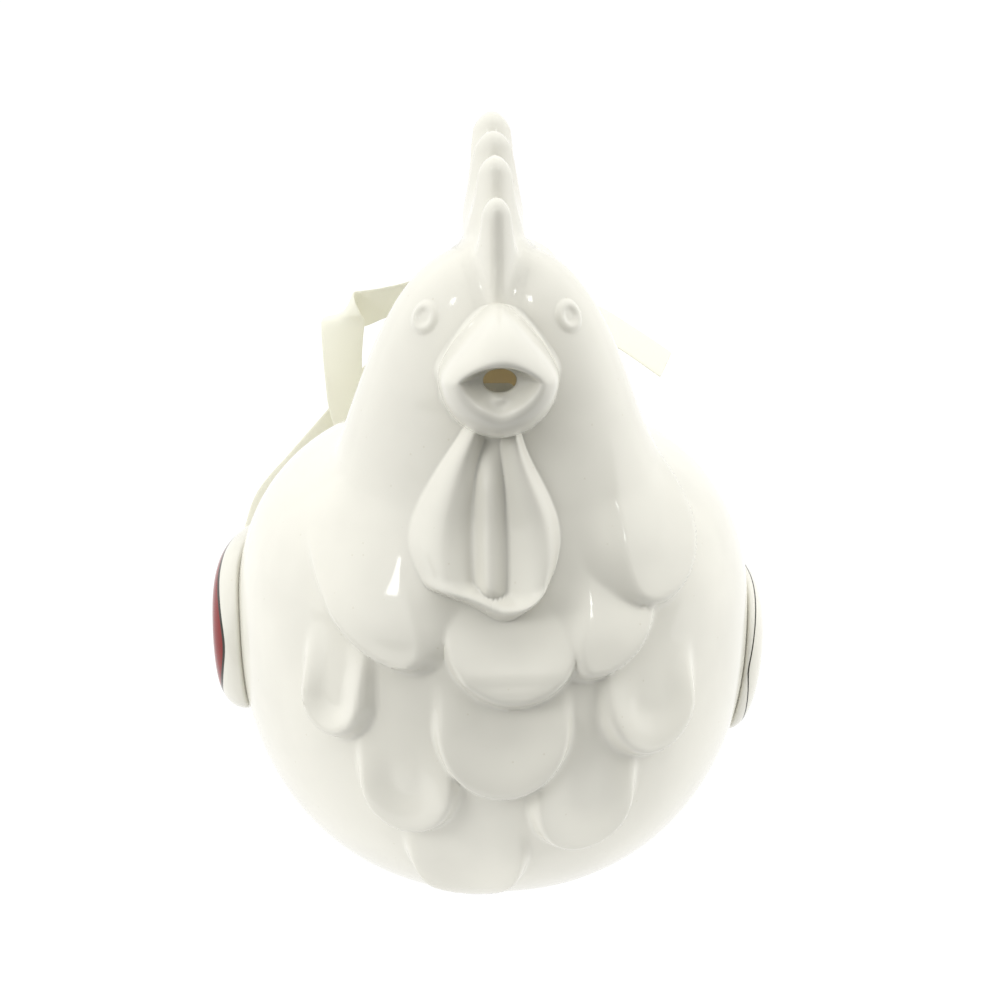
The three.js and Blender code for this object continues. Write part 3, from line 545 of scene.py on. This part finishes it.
even_out(comb, COMB_GRAIN)
points = points_of(comb.data)
rim = np.array(outline)
edge = np.roll(rim, -1, axis=0) - rim
off = points[:, None, 1:] - rim
share = np.clip(np.sum(off * edge, axis=-1) / np.sum(edge * edge, axis=-1), 0, 1)
depth = np.min(np.linalg.norm(off - share[..., None] * edge, axis=-1), axis=1)
back = np.clip((points[:, 1] - COMB_FRONT) / (COMB_SPAN * 0.5), 0, 1)
points[:, 0] *= np.sqrt(1 - (1 - np.minimum(depth / COMB_ROUNDING, 1)) ** 2)
points[:, 0] *= COMB_FRONT_THICKNESS / COMB_THICKNESS * (1 - back) + back
move_points(comb.data, points)
even_out(comb, COMB_GRAIN)
soften = comb.modifiers.new("soften", "SMOOTH")
soften.factor = 0.5
soften.iterations = 10
finished(comb)
flow_onto_skin(comb, 2.6)
cut(comb, bedding)
smooth(finished(comb))
melt(comb, 1.6)
fire(comb, "comb_glaze", "comb")

# Wattles: two dished lobes of clay pressed onto the throat below the beak, with thick rounded rims that meet in one
# wavy hem. They drift a little to one side.
WATTLE_TOP = BEAK_HEIGHT - BEAK_HALF_HEIGHT * 0.2
WATTLE_LENGTH = 44.0
WATTLE_THICKNESS = 4.3
for side, name, half, crest in ((-1, "left", 17.8, 0.48), (1, "right", 14.8, 0.68)):
    wattle = ball("wattle_" + name + "_lobe", 128, 96)
    unit = points_of(wattle.data)
    down = (1 - unit[:, 1]) / 2
    chord = np.sqrt(np.maximum(1 - unit[:, 1] ** 2, 1e-6))
    share = 0.46 + 0.54 * side * unit[:, 0] / chord
    out = np.maximum(share, 0)
    rise = 4 * out * (2 - out) if side < 0 else 12.5 * out**2 - 6.5 * out
    height = WATTLE_TOP - down * (WATTLE_LENGTH - rise)
    width = half * chord**0.3 * (0.3 + 0.7 * ease(0.05, 0.8, down))
    aside = -THROAT_DRIFT * ease(0, 0.4, down) + side * share * width
    foot = 1 - ease(0.94, 1, down)
    rim = ease(0.14, crest, out) * (1 - ease(crest, 1, out)) * foot
    hem = 0.8 * ease(0.85, 0.94, down) * foot * (1 - ease(crest, 1, out))
    floor = ease(0.1, 0.25, out) * (1 - ease(0.8, 1, out)) * foot
    lift = WATTLE_THICKNESS * (0.08 * floor + 0.92 * np.cbrt(rim**3 + hem**3))
    lift = lift * ease(0, 0.15, down) * (0.6 + 0.4 * down)
    lift = np.where(unit[:, 2] > 0, lift - 0.15 - 8 * (out - share), 1.5 * unit[:, 2] - 0.15)
    move_points(wattle.data, off_skin(turn_aside(aside, height), height, lift))
    smooth(wattle, 80)
    melt(wattle, 0.8)
    fire(wattle, "wattle_glaze", "wattle_" + name)

# Eyes: small buttons of the same clay, stuck on the head with slip and pressed with a round stick, so that a ring is
# left round a dimple. The white glaze runs over them.
EYE_RADIUS = 2.7
EYE_HEIGHT = 121.0
EYE_TURN = math.radians(43)
for side, name in ((-1, "left"), (1, "right")):
    eye = ball("eye_" + name + "_ring", 48, 40)
    unit = points_of(eye.data)
    radius = float(bell_half(np.array(EYE_HEIGHT)))
    spot = Vector((
        side * radius * math.sin(EYE_TURN),
        float(bell_axis(EYE_HEIGHT)) - radius * float(bell_depth(EYE_HEIGHT)) * math.cos(EYE_TURN),
        EYE_HEIGHT,
    ))
    _, facing, _, _ = skin_tree.find_nearest(spot)
    across = Vector((0, 0, 1)).cross(facing).normalized()
    upward = facing.cross(across)
    from_middle = np.hypot(unit[:, 0], unit[:, 1])
    ring = 0.8 * np.exp(-(((from_middle - 0.5) / 0.27) ** 2))
    ring += 0.25 * np.exp(-((from_middle / 0.2) ** 2))
    moved = []
    for (a, b, c), rise in zip(unit, ring):
        p = spot + (across * a + upward * b) * EYE_RADIUS * 1.6
        near, _, _, _ = skin_tree.find_nearest(p)
        moved.append(near + facing * (rise - 0.12 if c > 0 else 1.2 * c - 0.12))
    move_points(eye.data, np.array(moved))
    smooth(eye, 80)
    melt(eye, 0.3)
    fire(eye, "eye_glaze", "eye_" + name)

# Wings: leaf-shaped pads of clay luted to the flanks, blunt in front and pointed behind, with a quarter-round rim.
# Each is outlined with a brushed black line under the glaze, and the left one has a red patch.
WING_HALF_HEIGHT = 16.5
WING_FRONT_TURN = math.radians(83)
WING_TIP_TURN = math.radians(142)
WING_TIP_RISE = 15.0


def painted(name, red, line_at):
    """The white glaze with a brushed black line along the wing's rim and, on one wing, a red patch near its front."""
    material = glaze(name)
    tree = material.node_tree
    shader = tree.nodes["Principled BSDF"]
    add, link = tree.nodes.new, tree.links.new
    coat = shader.inputs["Base Color"].links[0].from_socket
    uv = add("ShaderNodeUVMap")
    uv.uv_map = "leaf"
    wobble = add("ShaderNodeTexNoise")
    wobble.inputs["Scale"].default_value = 9
    link(uv.outputs["UV"], wobble.inputs["Vector"])
    leaf = add("ShaderNodeSeparateXYZ")
    link(uv.outputs["UV"], leaf.inputs["Vector"])

    def sums(operation, a, b):
        node = add("ShaderNodeMath")
        node.operation = operation
        for socket, value in zip(node.inputs, (a, b)):
            if isinstance(value, (int, float)):
                socket.default_value = value
            else:
                link(value, socket)
        return node.outputs["Value"]

    def brush(colour, mask):
        nonlocal coat
        mix = add("ShaderNodeMix")
        mix.data_type = "RGBA"
        mix.inputs["B"].default_value = colour
        link(mask, mix.inputs["Factor"])
        link(coat, mix.inputs["A"])
        coat = mix.outputs["Result"]

    def within(value, low, high):
        band = add("ShaderNodeMapRange")
        band.interpolation_type = "SMOOTHSTEP"
        band.inputs["From Min"].default_value = low
        band.inputs["From Max"].default_value = high
        link(value, band.inputs["Value"])
        return band.outputs["Result"]

    along = leaf.outputs["X"]
    up = sums("ADD", leaf.outputs["Y"], sums("MULTIPLY", wobble.outputs["Fac"], 0.04))
    if red:
        patch = sums("MULTIPLY", within(along, 0.5, 0.44), within(up, line_at, line_at + 0.02))
        brush((0.22, 0.012, 0.009, 1), patch)
    inner, outer = within(up, line_at - 0.06, line_at - 0.03), within(up, line_at + 0.06, line_at + 0.03)
    brush((0.03, 0.027, 0.02, 1), sums("MULTIPLY", inner, outer))
    link(coat, shader.inputs["Base Color"])
    return material


wings = [(-1, "left", 48.0, 5.4, 0.66), (1, "right", 42.0, 3.6, 0.32)]
for side, name, wing_height, wing_lift, line_at in wings:
    wing = ball("wing_" + name + "_pad", 128, 64)
    unit = points_of(wing.data)
    along = np.clip((1 - unit[:, 1]) / 2, 0, 1)
    chord = np.sqrt(np.maximum(1 - unit[:, 1] ** 2, 1e-6))
    swell = WING_HALF_HEIGHT * np.sin(math.pi * np.clip(along, 0.0005, 0.9995) ** 0.62) ** 0.6
    height = wing_height + WING_TIP_RISE * along**2 + unit[:, 0] / chord * swell
    turn = side * (WING_FRONT_TURN + (WING_TIP_TURN - WING_FRONT_TURN) * along)
    inward = np.minimum((1 - np.hypot(unit[:, 0], unit[:, 1])) / 0.24, 1)
    up = np.where(unit[:, 2] > 0, np.sqrt(np.maximum(0, 1 - (1 - inward) ** 2)), -0.2)
    paint = up - 0.35 * (unit[:, 0] / chord - 0.2) ** 2
    lift = np.where(unit[:, 2] > 0, wing_lift * up * (1 - 0.45 * along**2), 1.4 * unit[:, 2])
    move_points(wing.data, off_skin(turn, height, lift))
    if side > 0:
        wing.data.flip_normals()
    flow_onto_skin(wing, 0.8)
    fire(wing, "wing_glaze", "wing_" + name)
    layer = wing.data.uv_layers.new(name="leaf")
    for loop in wing.data.loops:
        layer.data[loop.index].uv = (along[loop.vertex_index], paint[loop.vertex_index])
    wing.data.materials.clear()
    wing.data.materials.append(painted("painted_wing_" + name, side < 0, line_at))
    smooth(wing, 80)

# Handle: the arched tail, a pulled strap of clay of oval section, luted to the body at both ends. It leaves the back
# behind the mouth, arches over in a true arc and sweeps down to the rump.
ARCH_RADIUS = 22.0
ARCH_CENTRE = (RUMP_REACH + 7, 86.0)
ARCH_START = math.radians(150)
HANDLE_HALF_WIDTH = 6.0
HANDLE_HALF_THICKNESS = 4.5
HANDLE_ROOT_HEIGHT = 32.0
ROOT_FLARE = 0.4
path = []
for k in range(20):
    back = ARCH_RADIUS * 0.7 * (1 - k / 20)
    spot = (
        ARCH_CENTRE[0] + ARCH_RADIUS * math.cos(ARCH_START) - back * math.sin(ARCH_START),
        ARCH_CENTRE[1] + ARCH_RADIUS * math.sin(ARCH_START) + back * math.cos(ARCH_START),
    )
    path.append((spot, (math.cos(ARCH_START), math.sin(ARCH_START)), 1 + ROOT_FLARE * (1 - k / 20) ** 2))
for k in range(71):
    angle = ARCH_START * (1 - k / 70)
    out = (math.cos(angle), math.sin(angle))
    path.append(((ARCH_CENTRE[0] + ARCH_RADIUS * out[0], ARCH_CENTRE[1] + ARCH_RADIUS * out[1]), out, 1))
end = Vector((ARCH_CENTRE[0] + ARCH_RADIUS, ARCH_CENTRE[1]))
root = Vector((RUMP_REACH * float(pot_share(np.array(HANDLE_ROOT_HEIGHT))) - 2 * WALL, HANDLE_ROOT_HEIGHT))
drop = end + Vector((0, (root.y - end.y) * 0.45))
tuck = root + Vector(((end.x - root.x) * 0.72, (end.y - root.y) * 0.14))
for k in range(1, 51):
    t = k / 50
    u = 1 - t
    spot = end * u**3 + drop * 3 * u**2 * t + tuck * 3 * u * t**2 + root * t**3
    run = (drop - end) * u**2 + (tuck - drop) * 2 * u * t + (root - tuck) * t**2
    run.normalize()
    path.append((tuple(spot), (-run.y, run.x), 1 + ROOT_FLARE * t**4))
bm = bmesh.new()
bmesh.ops.create_circle(bm, segments=48, radius=1, cap_ends=True)
section = bm.faces[:] + bm.edges[:] + bm.verts[:]
bmesh.ops.spin(
    bm, geom=section, cent=(0, 0, 0), axis=(0, 0, 1), dvec=(0, 0, 1), angle=0, steps=len(path) - 1
)
for v in bm.verts:
    (y, z), (out_y, out_z), flare = path[round(v.co.z)]
    rise = v.co.y * HANDLE_HALF_THICKNESS * flare
    v.co = (v.co.x * HANDLE_HALF_WIDTH * flare, y + out_y * rise, z + out_z * rise)
bmesh.ops.recalc_face_normals(bm, faces=bm.faces[:])
handle = clay("tail_handle_strap", bm)
flow_onto_skin(handle, 4.0)
cut(handle, bedding)
smooth(finished(handle))
melt(handle, 2.0)
fire(handle, "handle_glaze", "tail_handle")
bpy.data.objects.remove(bedding)

# Ribbon: one length of cream satin, ten millimetres wide, tied round the arch of the handle in a bow. A band goes
# round the strap, a knot gathers the bow on top of it, and two loops and two tails spring from the knot.
RIBBON_WIDTH = 10.0
RIBBON_THICKNESS = 0.4
RIBBON_CLEARANCE = 0.6
TIE_TURN = math.radians(110)
KNOT_RISE = 3.4
KNOT_HALF_WIDTH = 4.4
KNOT_HALF_LENGTH = 4.6
KNOT_HALF_HEIGHT = 3.1
KNOT_LEVEL = ARCH_RADIUS + HANDLE_HALF_THICKNESS + RIBBON_CLEARANCE * 2 + KNOT_RISE
KNOT = np.array([
    0,
    ARCH_CENTRE[0] + KNOT_LEVEL * math.cos(TIE_TURN),
    ARCH_CENTRE[1] + KNOT_LEVEL * math.sin(TIE_TURN),
])


def satin(name):
    """Satin weave: long floats along the ribbon and a soft sheen."""
    material, tree, shader = nodes_of(name)
    add, link = tree.nodes.new, tree.links.new
    uv = add("ShaderNodeUVMap")
    uv.uv_map = "run"
    floats = add("ShaderNodeTexWave")
    floats.wave_type = "BANDS"
    floats.bands_direction = "X"
    floats.inputs["Scale"].default_value = 18
    floats.inputs["Distortion"].default_value = 0.6
    link(uv.outputs["UV"], floats.inputs["Vector"])
    tint = add("ShaderNodeValToRGB")
    tint.color_ramp.elements[0].color = (0.84, 0.83, 0.70, 1)
    tint.color_ramp.elements[1].color = (0.88, 0.87, 0.76, 1)
    link(floats.outputs["Fac"], tint.inputs["Fac"])
    link(tint.outputs["Color"], shader.inputs["Base Color"])
    bump = add("ShaderNodeBump")
    bump.inputs["Strength"].default_value = 0.15
    bump.inputs["Distance"].default_value = 0.0002
    link(floats.outputs["Fac"], bump.inputs["Height"])
    link(bump.outputs["Normal"], shader.inputs["Normal"])
    shader.inputs["Roughness"].default_value = 0.42
    shader.inputs["Sheen Weight"].default_value = 0.25
    return material


cream_satin = satin("cream_satin")


def track(times, values, t):
    """A smooth curve through values at times, evaluated at t."""
    values = np.asarray(values, float)
    slope = np.gradient(values, times, axis=0)
    i = np.clip(np.searchsorted(times, t) - 1, 0, len(times) - 2)
    span = (times[i + 1] - times[i])[:, None]
    f = (t - times[i])[:, None] / span
    ends = values[i] * (1 + 2 * f) * (1 - f) ** 2 + values[i + 1] * f**2 * (3 - 2 * f)
    return ends + span * (slope[i] * f * (1 - f) ** 2 - slope[i + 1] * f**2 * (1 - f))


def length_of(line):
    return float(np.sum(np.linalg.norm(np.diff(line, axis=0), axis=1)))


def lay(piece, node, length):
    to_metres(piece)
    thick = piece.modifiers.new("cloth", "SOLIDIFY")
    thick.thickness = RIBBON_THICKNESS * MM
    thick.offset = 0
    finer = piece.modifiers.new("finer", "SUBSURF")
    finer.levels = finer.render_levels = 1
    piece.data.materials.append(cream_satin)
    piece.data.shade_smooth()
    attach(piece, "bow")
    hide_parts(node)


def ribbon(name, node, stations, rows=120, across_rows=10):
    bm = bmesh.new()
    bmesh.ops.create_grid(bm, x_segments=across_rows, y_segments=rows, size=1)
    piece = clay(name, bm)
    unit = points_of(piece.data)
    places = np.array([s[0] for s in stations], float)
    steps = np.sqrt(np.linalg.norm(np.diff(places, axis=0), axis=1))
    times = np.concatenate([[0], np.cumsum(steps)])
    t = (unit[:, 1] + 1) / 2 * times[-1]
    middle = track(times, places, t) + KNOT
    run = track(times, places, np.minimum(t + 0.01, times[-1]))
    run -= track(times, places, np.maximum(t - 0.01, 0))
    run /= np.linalg.norm(run, axis=1, keepdims=True)
    lie = track(times, [s[1] for s in stations], t)
    lie -= run * np.sum(lie * run, axis=1, keepdims=True)
    lie /= np.linalg.norm(lie, axis=1, keepdims=True)
    facing = np.cross(run, lie)
    spread = track(times, [(s[2],) for s in stations], t)[:, 0]
    a = unit[:, 0]
    fold = (1 - np.clip(spread, 0, 1)) * 1.3 * np.cos(a * 3 * math.pi) + 0.25 * (1 - a * a)
    points = middle + lie * (a * spread * RIBBON_WIDTH / 2)[:, None] + facing * fold[:, None]
    move_points(piece.data, points)
    layer = piece.data.uv_layers.new(name="run")
    for loop in piece.data.loops:
        u = unit[loop.vertex_index]
        layer.data[loop.index].uv = ((u[0] + 1) / 2, (u[1] + 1) / 2 * rows / 12)
    lay(piece, node, length_of(track(times, places, np.linspace(0, times[-1], 400))))


# Place from the knot, lie of the width and share of the width that is spread, along each stretch
loop_left = [
    ((-1, 1.4, 0.6), (0, 0.5, 0.86), 0.3),
    ((-7, 2.2, -0.2), (0, 0.35, 0.93), 0.6),
    ((-15, 2.6, -4.2), (0, -0.5, 0.86), 0.95),
    ((-23, 2.4, -6), (0, -0.6, 0.8), 1),
    ((-29.5, 1.6, -7.4), (0, -0.4, 0.92), 1),
    ((-30.8, 1.2, -7), (0.15, -0.5, 0.85), 1),
    ((-31.8, 0.2, -7.5), (0.5, -0.7, 0.5), 1),
    ((-32.3, -0.7, -8.5), (0.85, -0.5, 0.15), 1),
    ((-32.4, -1.2, -9.8), (1, 0, 0), 1),
    ((-32.6, -1.8, -15), (0.92, 0.38, 0), 1),
    ((-32.4, -2.2, -22), (0.85, 0.52, 0), 1),
    ((-31.4, -1.6, -30), (0.85, 0.5, 0.08), 1),
    ((-28, 0, -37), (0.85, 0.45, 0.24), 1),
    ((-21.5, 1.8, -40.5), (0.5, 0.8, 0.3), 1),
    ((-15.5, 1, -34.5), (0.05, 0.96, 0.2), 1),
    ((-12.5, -1.6, -24), (0.1, 0.95, -0.2), 0.95),
    ((-11, -3.8, -12), (0.15, 0.95, -0.2), 0.8),
    ((-7.2, -2.6, -3), (0.1, 0.95, -0.2), 0.45),
    ((-1, -1.4, -0.9), (0, 0.97, -0.2), 0.3),
]
loop_right = [
    ((1, 1, 1.2), (0, 0.9, 0.4), 0.3),
    ((4.4, 1, 4.6), (0, 0.93, 0.36), 0.55),
    ((9, 0.6, 6.9), (0, 0.95, 0.3), 0.9),
    ((14, 0, 5.2), (0, 0.97, 0.24), 1),
    ((17.4, -0.6, 1.6), (0, 0.98, 0.2), 1),
    ((16, -1.2, -1.6), (0, 0.98, 0.2), 0.95),
    ((11.5, -1.6, -1.4), (0, 0.98, 0.2), 0.8),
    ((6.4, -1.6, -0.2), (0, 0.98, 0.2), 0.5),
    ((1, -1.4, 0.2), (0, 0.98, 0.2), 0.3),
]
tail_left = [
    ((-1, 2.6, -1), (0, 0.95, 0.3), 0.3),
    ((-7.4, 5, -5), (0.3, 0.8, 0.1), 0.5),
    ((-16.5, 6.4, -14), (0.5, 0.6, -0.4), 0.95),
    ((-25, 5.6, -24), (0.6, 0.5, -0.6), 1),
    ((-33.5, 3.6, -34), (0.66, 0.44, -0.6), 1),
    ((-42, 1.4, -43.5), (0.74, 0.4, -0.5), 1),
    ((-49.3, -0.8, -52), (0.84, 0.36, -0.3), 1),
    ((-52, -2, -60), (0.92, 0.3, -0.2), 1),
]
tail_right = [
    ((1, -0.2, -1.4), (0, 0.98, 0.2), 0.3),
    ((7, -0.4, -3), (0.1, 0.95, 0.25), 0.5),
    ((15, -0.6, -6), (0.2, 0.9, 0.34), 0.9),
    ((24, -0.6, -9), (0.28, 0.86, 0.42), 1),
    ((33, -1, -14.4), (0.3, 0.85, 0.44), 1),
    ((42, -1.4, -20.6), (0.32, 0.84, 0.46), 1),
]
ribbon("bow_loop_left", "ribbon_loop_left", loop_left, 170)
ribbon("bow_loop_right", "ribbon_loop_right", loop_right, 110)
ribbon("bow_tail_left", "ribbon_tail_left", tail_left, 110)
ribbon("bow_tail_right", "ribbon_tail_right", tail_right, 90)


def wrap(name, node, place, around, pleats):
    """A closed turn of ribbon: place(turn, across) gives each point, pleats run round it."""
    bm = bmesh.new()
    bmesh.ops.create_grid(bm, x_segments=14, y_segments=around, size=1)
    piece = clay(name, bm)
    unit = points_of(piece.data)
    turn, across = (unit[:, 1] + 1) * math.pi, unit[:, 0]
    move_points(piece.data, place(turn, across, pleats * np.cos(across * 3 * math.pi)))
    layer = piece.data.uv_layers.new(name="run")
    for loop in piece.data.loops:
        u = unit[loop.vertex_index]
        layer.data[loop.index].uv = ((u[0] + 1) / 2, (u[1] + 1) / 2 * 3)
    seam = bmesh.new()
    seam.from_mesh(piece.data)
    bmesh.ops.remove_doubles(seam, verts=seam.verts[:], dist=0.001)
    seam.to_mesh(piece.data)
    seam.free()
    lay(piece, node, length_of(place(np.linspace(0, 2 * math.pi, 200), np.zeros(200), 0)))


def round_handle(turn, across, pleat):
    angle = TIE_TURN + across * RIBBON_WIDTH / 2 / ARCH_RADIUS
    level = ARCH_RADIUS + (HANDLE_HALF_THICKNESS + RIBBON_CLEARANCE + pleat) * np.sin(turn)
    return np.stack([
        (HANDLE_HALF_WIDTH + RIBBON_CLEARANCE + pleat) * np.cos(turn),
        ARCH_CENTRE[0] + level * np.cos(angle),
        ARCH_CENTRE[1] + level * np.sin(angle),
    ], -1)


def round_knot(turn, across, pleat):
    full = 1 / (np.abs(np.cos(turn)) ** 3 + np.abs(np.sin(turn)) ** 3) ** (1 / 3)
    full = full * (0.92 + 0.06 * across**2)
    along = (KNOT_HALF_LENGTH + pleat) * full * np.cos(turn)
    up = (KNOT_HALF_HEIGHT + pleat) * full * np.sin(turn)
    return KNOT + np.stack([
        KNOT_HALF_WIDTH * across,
        -along * math.sin(TIE_TURN) + up * math.cos(TIE_TURN),
        along * math.cos(TIE_TURN) + up * math.sin(TIE_TURN),
    ], -1)


wrap("bow_band", "ribbon_band", round_handle, 96, 0.05)
wrap("bow_knot", "ribbon_knot", round_knot, 96, 0.22)

# Table and light: a dark grey seamless sweep whose surface glows, a painted glow that is bright behind the jug and
# dim in front of it, in a white tent with a dim front. A soft lamp stands at each side, two small windows give the
# highlights, and two tiny lamps inside the jug stand for the light that comes in through the filling mouth.
bm = bmesh.new()
bmesh.ops.create_grid(bm, x_segments=2, y_segments=40, size=1)
for v in bm.verts:
    run = (v.co.y + 1) / 2
    wall = max(0.0, run - 0.75) / 0.25
    depth = -1.5 + 3.2 * min(run, 0.75) / 0.75 + 0.5 * math.sin(wall * math.pi / 2)
    v.co = (v.co.x * 2.5, depth, 1.8 * wall * wall)
table = clay("table", bm)
table.data.shade_smooth()
material, tree, shader = nodes_of("glowing_sweep")
place = tree.nodes.new("ShaderNodeTexCoord")
split = tree.nodes.new("ShaderNodeSeparateXYZ")
# painted glow: the sweep's emission runs from dim in front of the jug to bright behind it, and lights the jug like a
# lamp
glow = tree.nodes.new("ShaderNodeMapRange")
glow.interpolation_type = "SMOOTHSTEP"
glow.inputs["From Min"].default_value = -0.105
glow.inputs["From Max"].default_value = -0.08
glow.inputs["To Min"].default_value = 0.05
glow.inputs["To Max"].default_value = 0.93
tree.links.new(place.outputs["Object"], split.inputs["Vector"])
tree.links.new(split.outputs["Y"], glow.inputs["Value"])
tree.links.new(glow.outputs["Result"], shader.inputs["Emission Strength"])
shader.inputs["Base Color"].default_value = (0.1, 0.1, 0.098, 1)
shader.inputs["Emission Color"].default_value = (1, 1, 1, 1)
shader.inputs["Roughness"].default_value = 0.9
table.data.materials.append(material)

world = bpy.data.worlds.new("tent")
bpy.context.scene.world = world
world.use_nodes = True
sky = world.node_tree
around = sky.nodes.new("ShaderNodeTexCoord")
ahead = sky.nodes.new("ShaderNodeVectorMath")
ahead.operation = "DOT_PRODUCT"
ahead.inputs[1].default_value = (0.33, -0.82, -0.47)
shade = sky.nodes.new("ShaderNodeMapRange")
shade.interpolation_type = "SMOOTHSTEP"
shade.inputs["From Min"].default_value = 0.95
shade.inputs["From Max"].default_value = 0.05
shade.inputs["To Min"].default_value = 0.03
shade.inputs["To Max"].default_value = 1.27
sky.links.new(around.outputs["Generated"], ahead.inputs[0])
sky.links.new(ahead.outputs["Value"], shade.inputs["Value"])
sky.links.new(shade.outputs["Result"], sky.nodes["Background"].inputs["Strength"])
sky.nodes["Background"].inputs["Color"].default_value = (1, 1, 0.99, 1)


def lamp(name, spot, target, size, power, mirrored=True):
    light = bpy.data.lights.new(name, "AREA")
    light.shape = "RECTANGLE"
    light.size, light.size_y = size
    light.energy = power
    lit = bpy.data.objects.new(name, light)
    lit.location = spot
    lit.visible_camera = False
    lit.visible_glossy = mirrored
    lit.rotation_euler = (Vector(target) - Vector(spot)).to_track_quat("-Z", "Y").to_euler()
    bpy.context.scene.collection.objects.link(lit)


lamp("right_light", (0.75, -0.1, 0.35), (0, 0, 0.07), (0.5, 0.6), 2.1, False)
lamp("left_light", (-0.68, -0.54, 0.38), (0, 0, 0.08), (0.25, 0.25), 1.8, False)
lamp("front_left_window", (-0.62, -0.52, 0.55), (0, 0, 0.08), (0.08, 0.08), 0.2)
lamp("front_right_window", (0.5, -0.6, 0.55), (0, 0, 0.08), (0.08, 0.08), 0.2)
lamp("inner_light", (0, -0.006, 0.05), (0, 0.015, 0.1), (0.01, 0.01), 0.007, False)
lamp("bore_light", (0, -0.022, 0.113), (0, -0.05, 0.105), (0.006, 0.006), 0.004, False)

# Camera: level with the breast, a little above and a touch to the left, as the photograph was taken.
aim = Vector((0, 0, 0.07675))
azimuth, elevation = math.radians(-1.5), math.radians(12.78)
level = math.cos(elevation)
back = Vector((math.sin(azimuth) * level, -math.cos(azimuth) * level, math.sin(elevation)))
lens = bpy.data.cameras.new("camera")
lens.sensor_width = 36
lens.lens = 83.4
lens.shift_x = 0.0079
lens.clip_start = 0.01
camera = bpy.data.objects.new("camera", lens)
camera.location = aim + back * 0.48
roll = Matrix.Rotation(math.radians(-0.35), 4, "Z").to_quaternion()
camera.rotation_euler = ((-back).to_track_quat("-Z", "Y") @ roll).to_euler()
bpy.context.scene.collection.objects.link(camera)
bpy.context.scene.camera = camera
bpy.context.scene.view_settings.view_transform = "Standard"
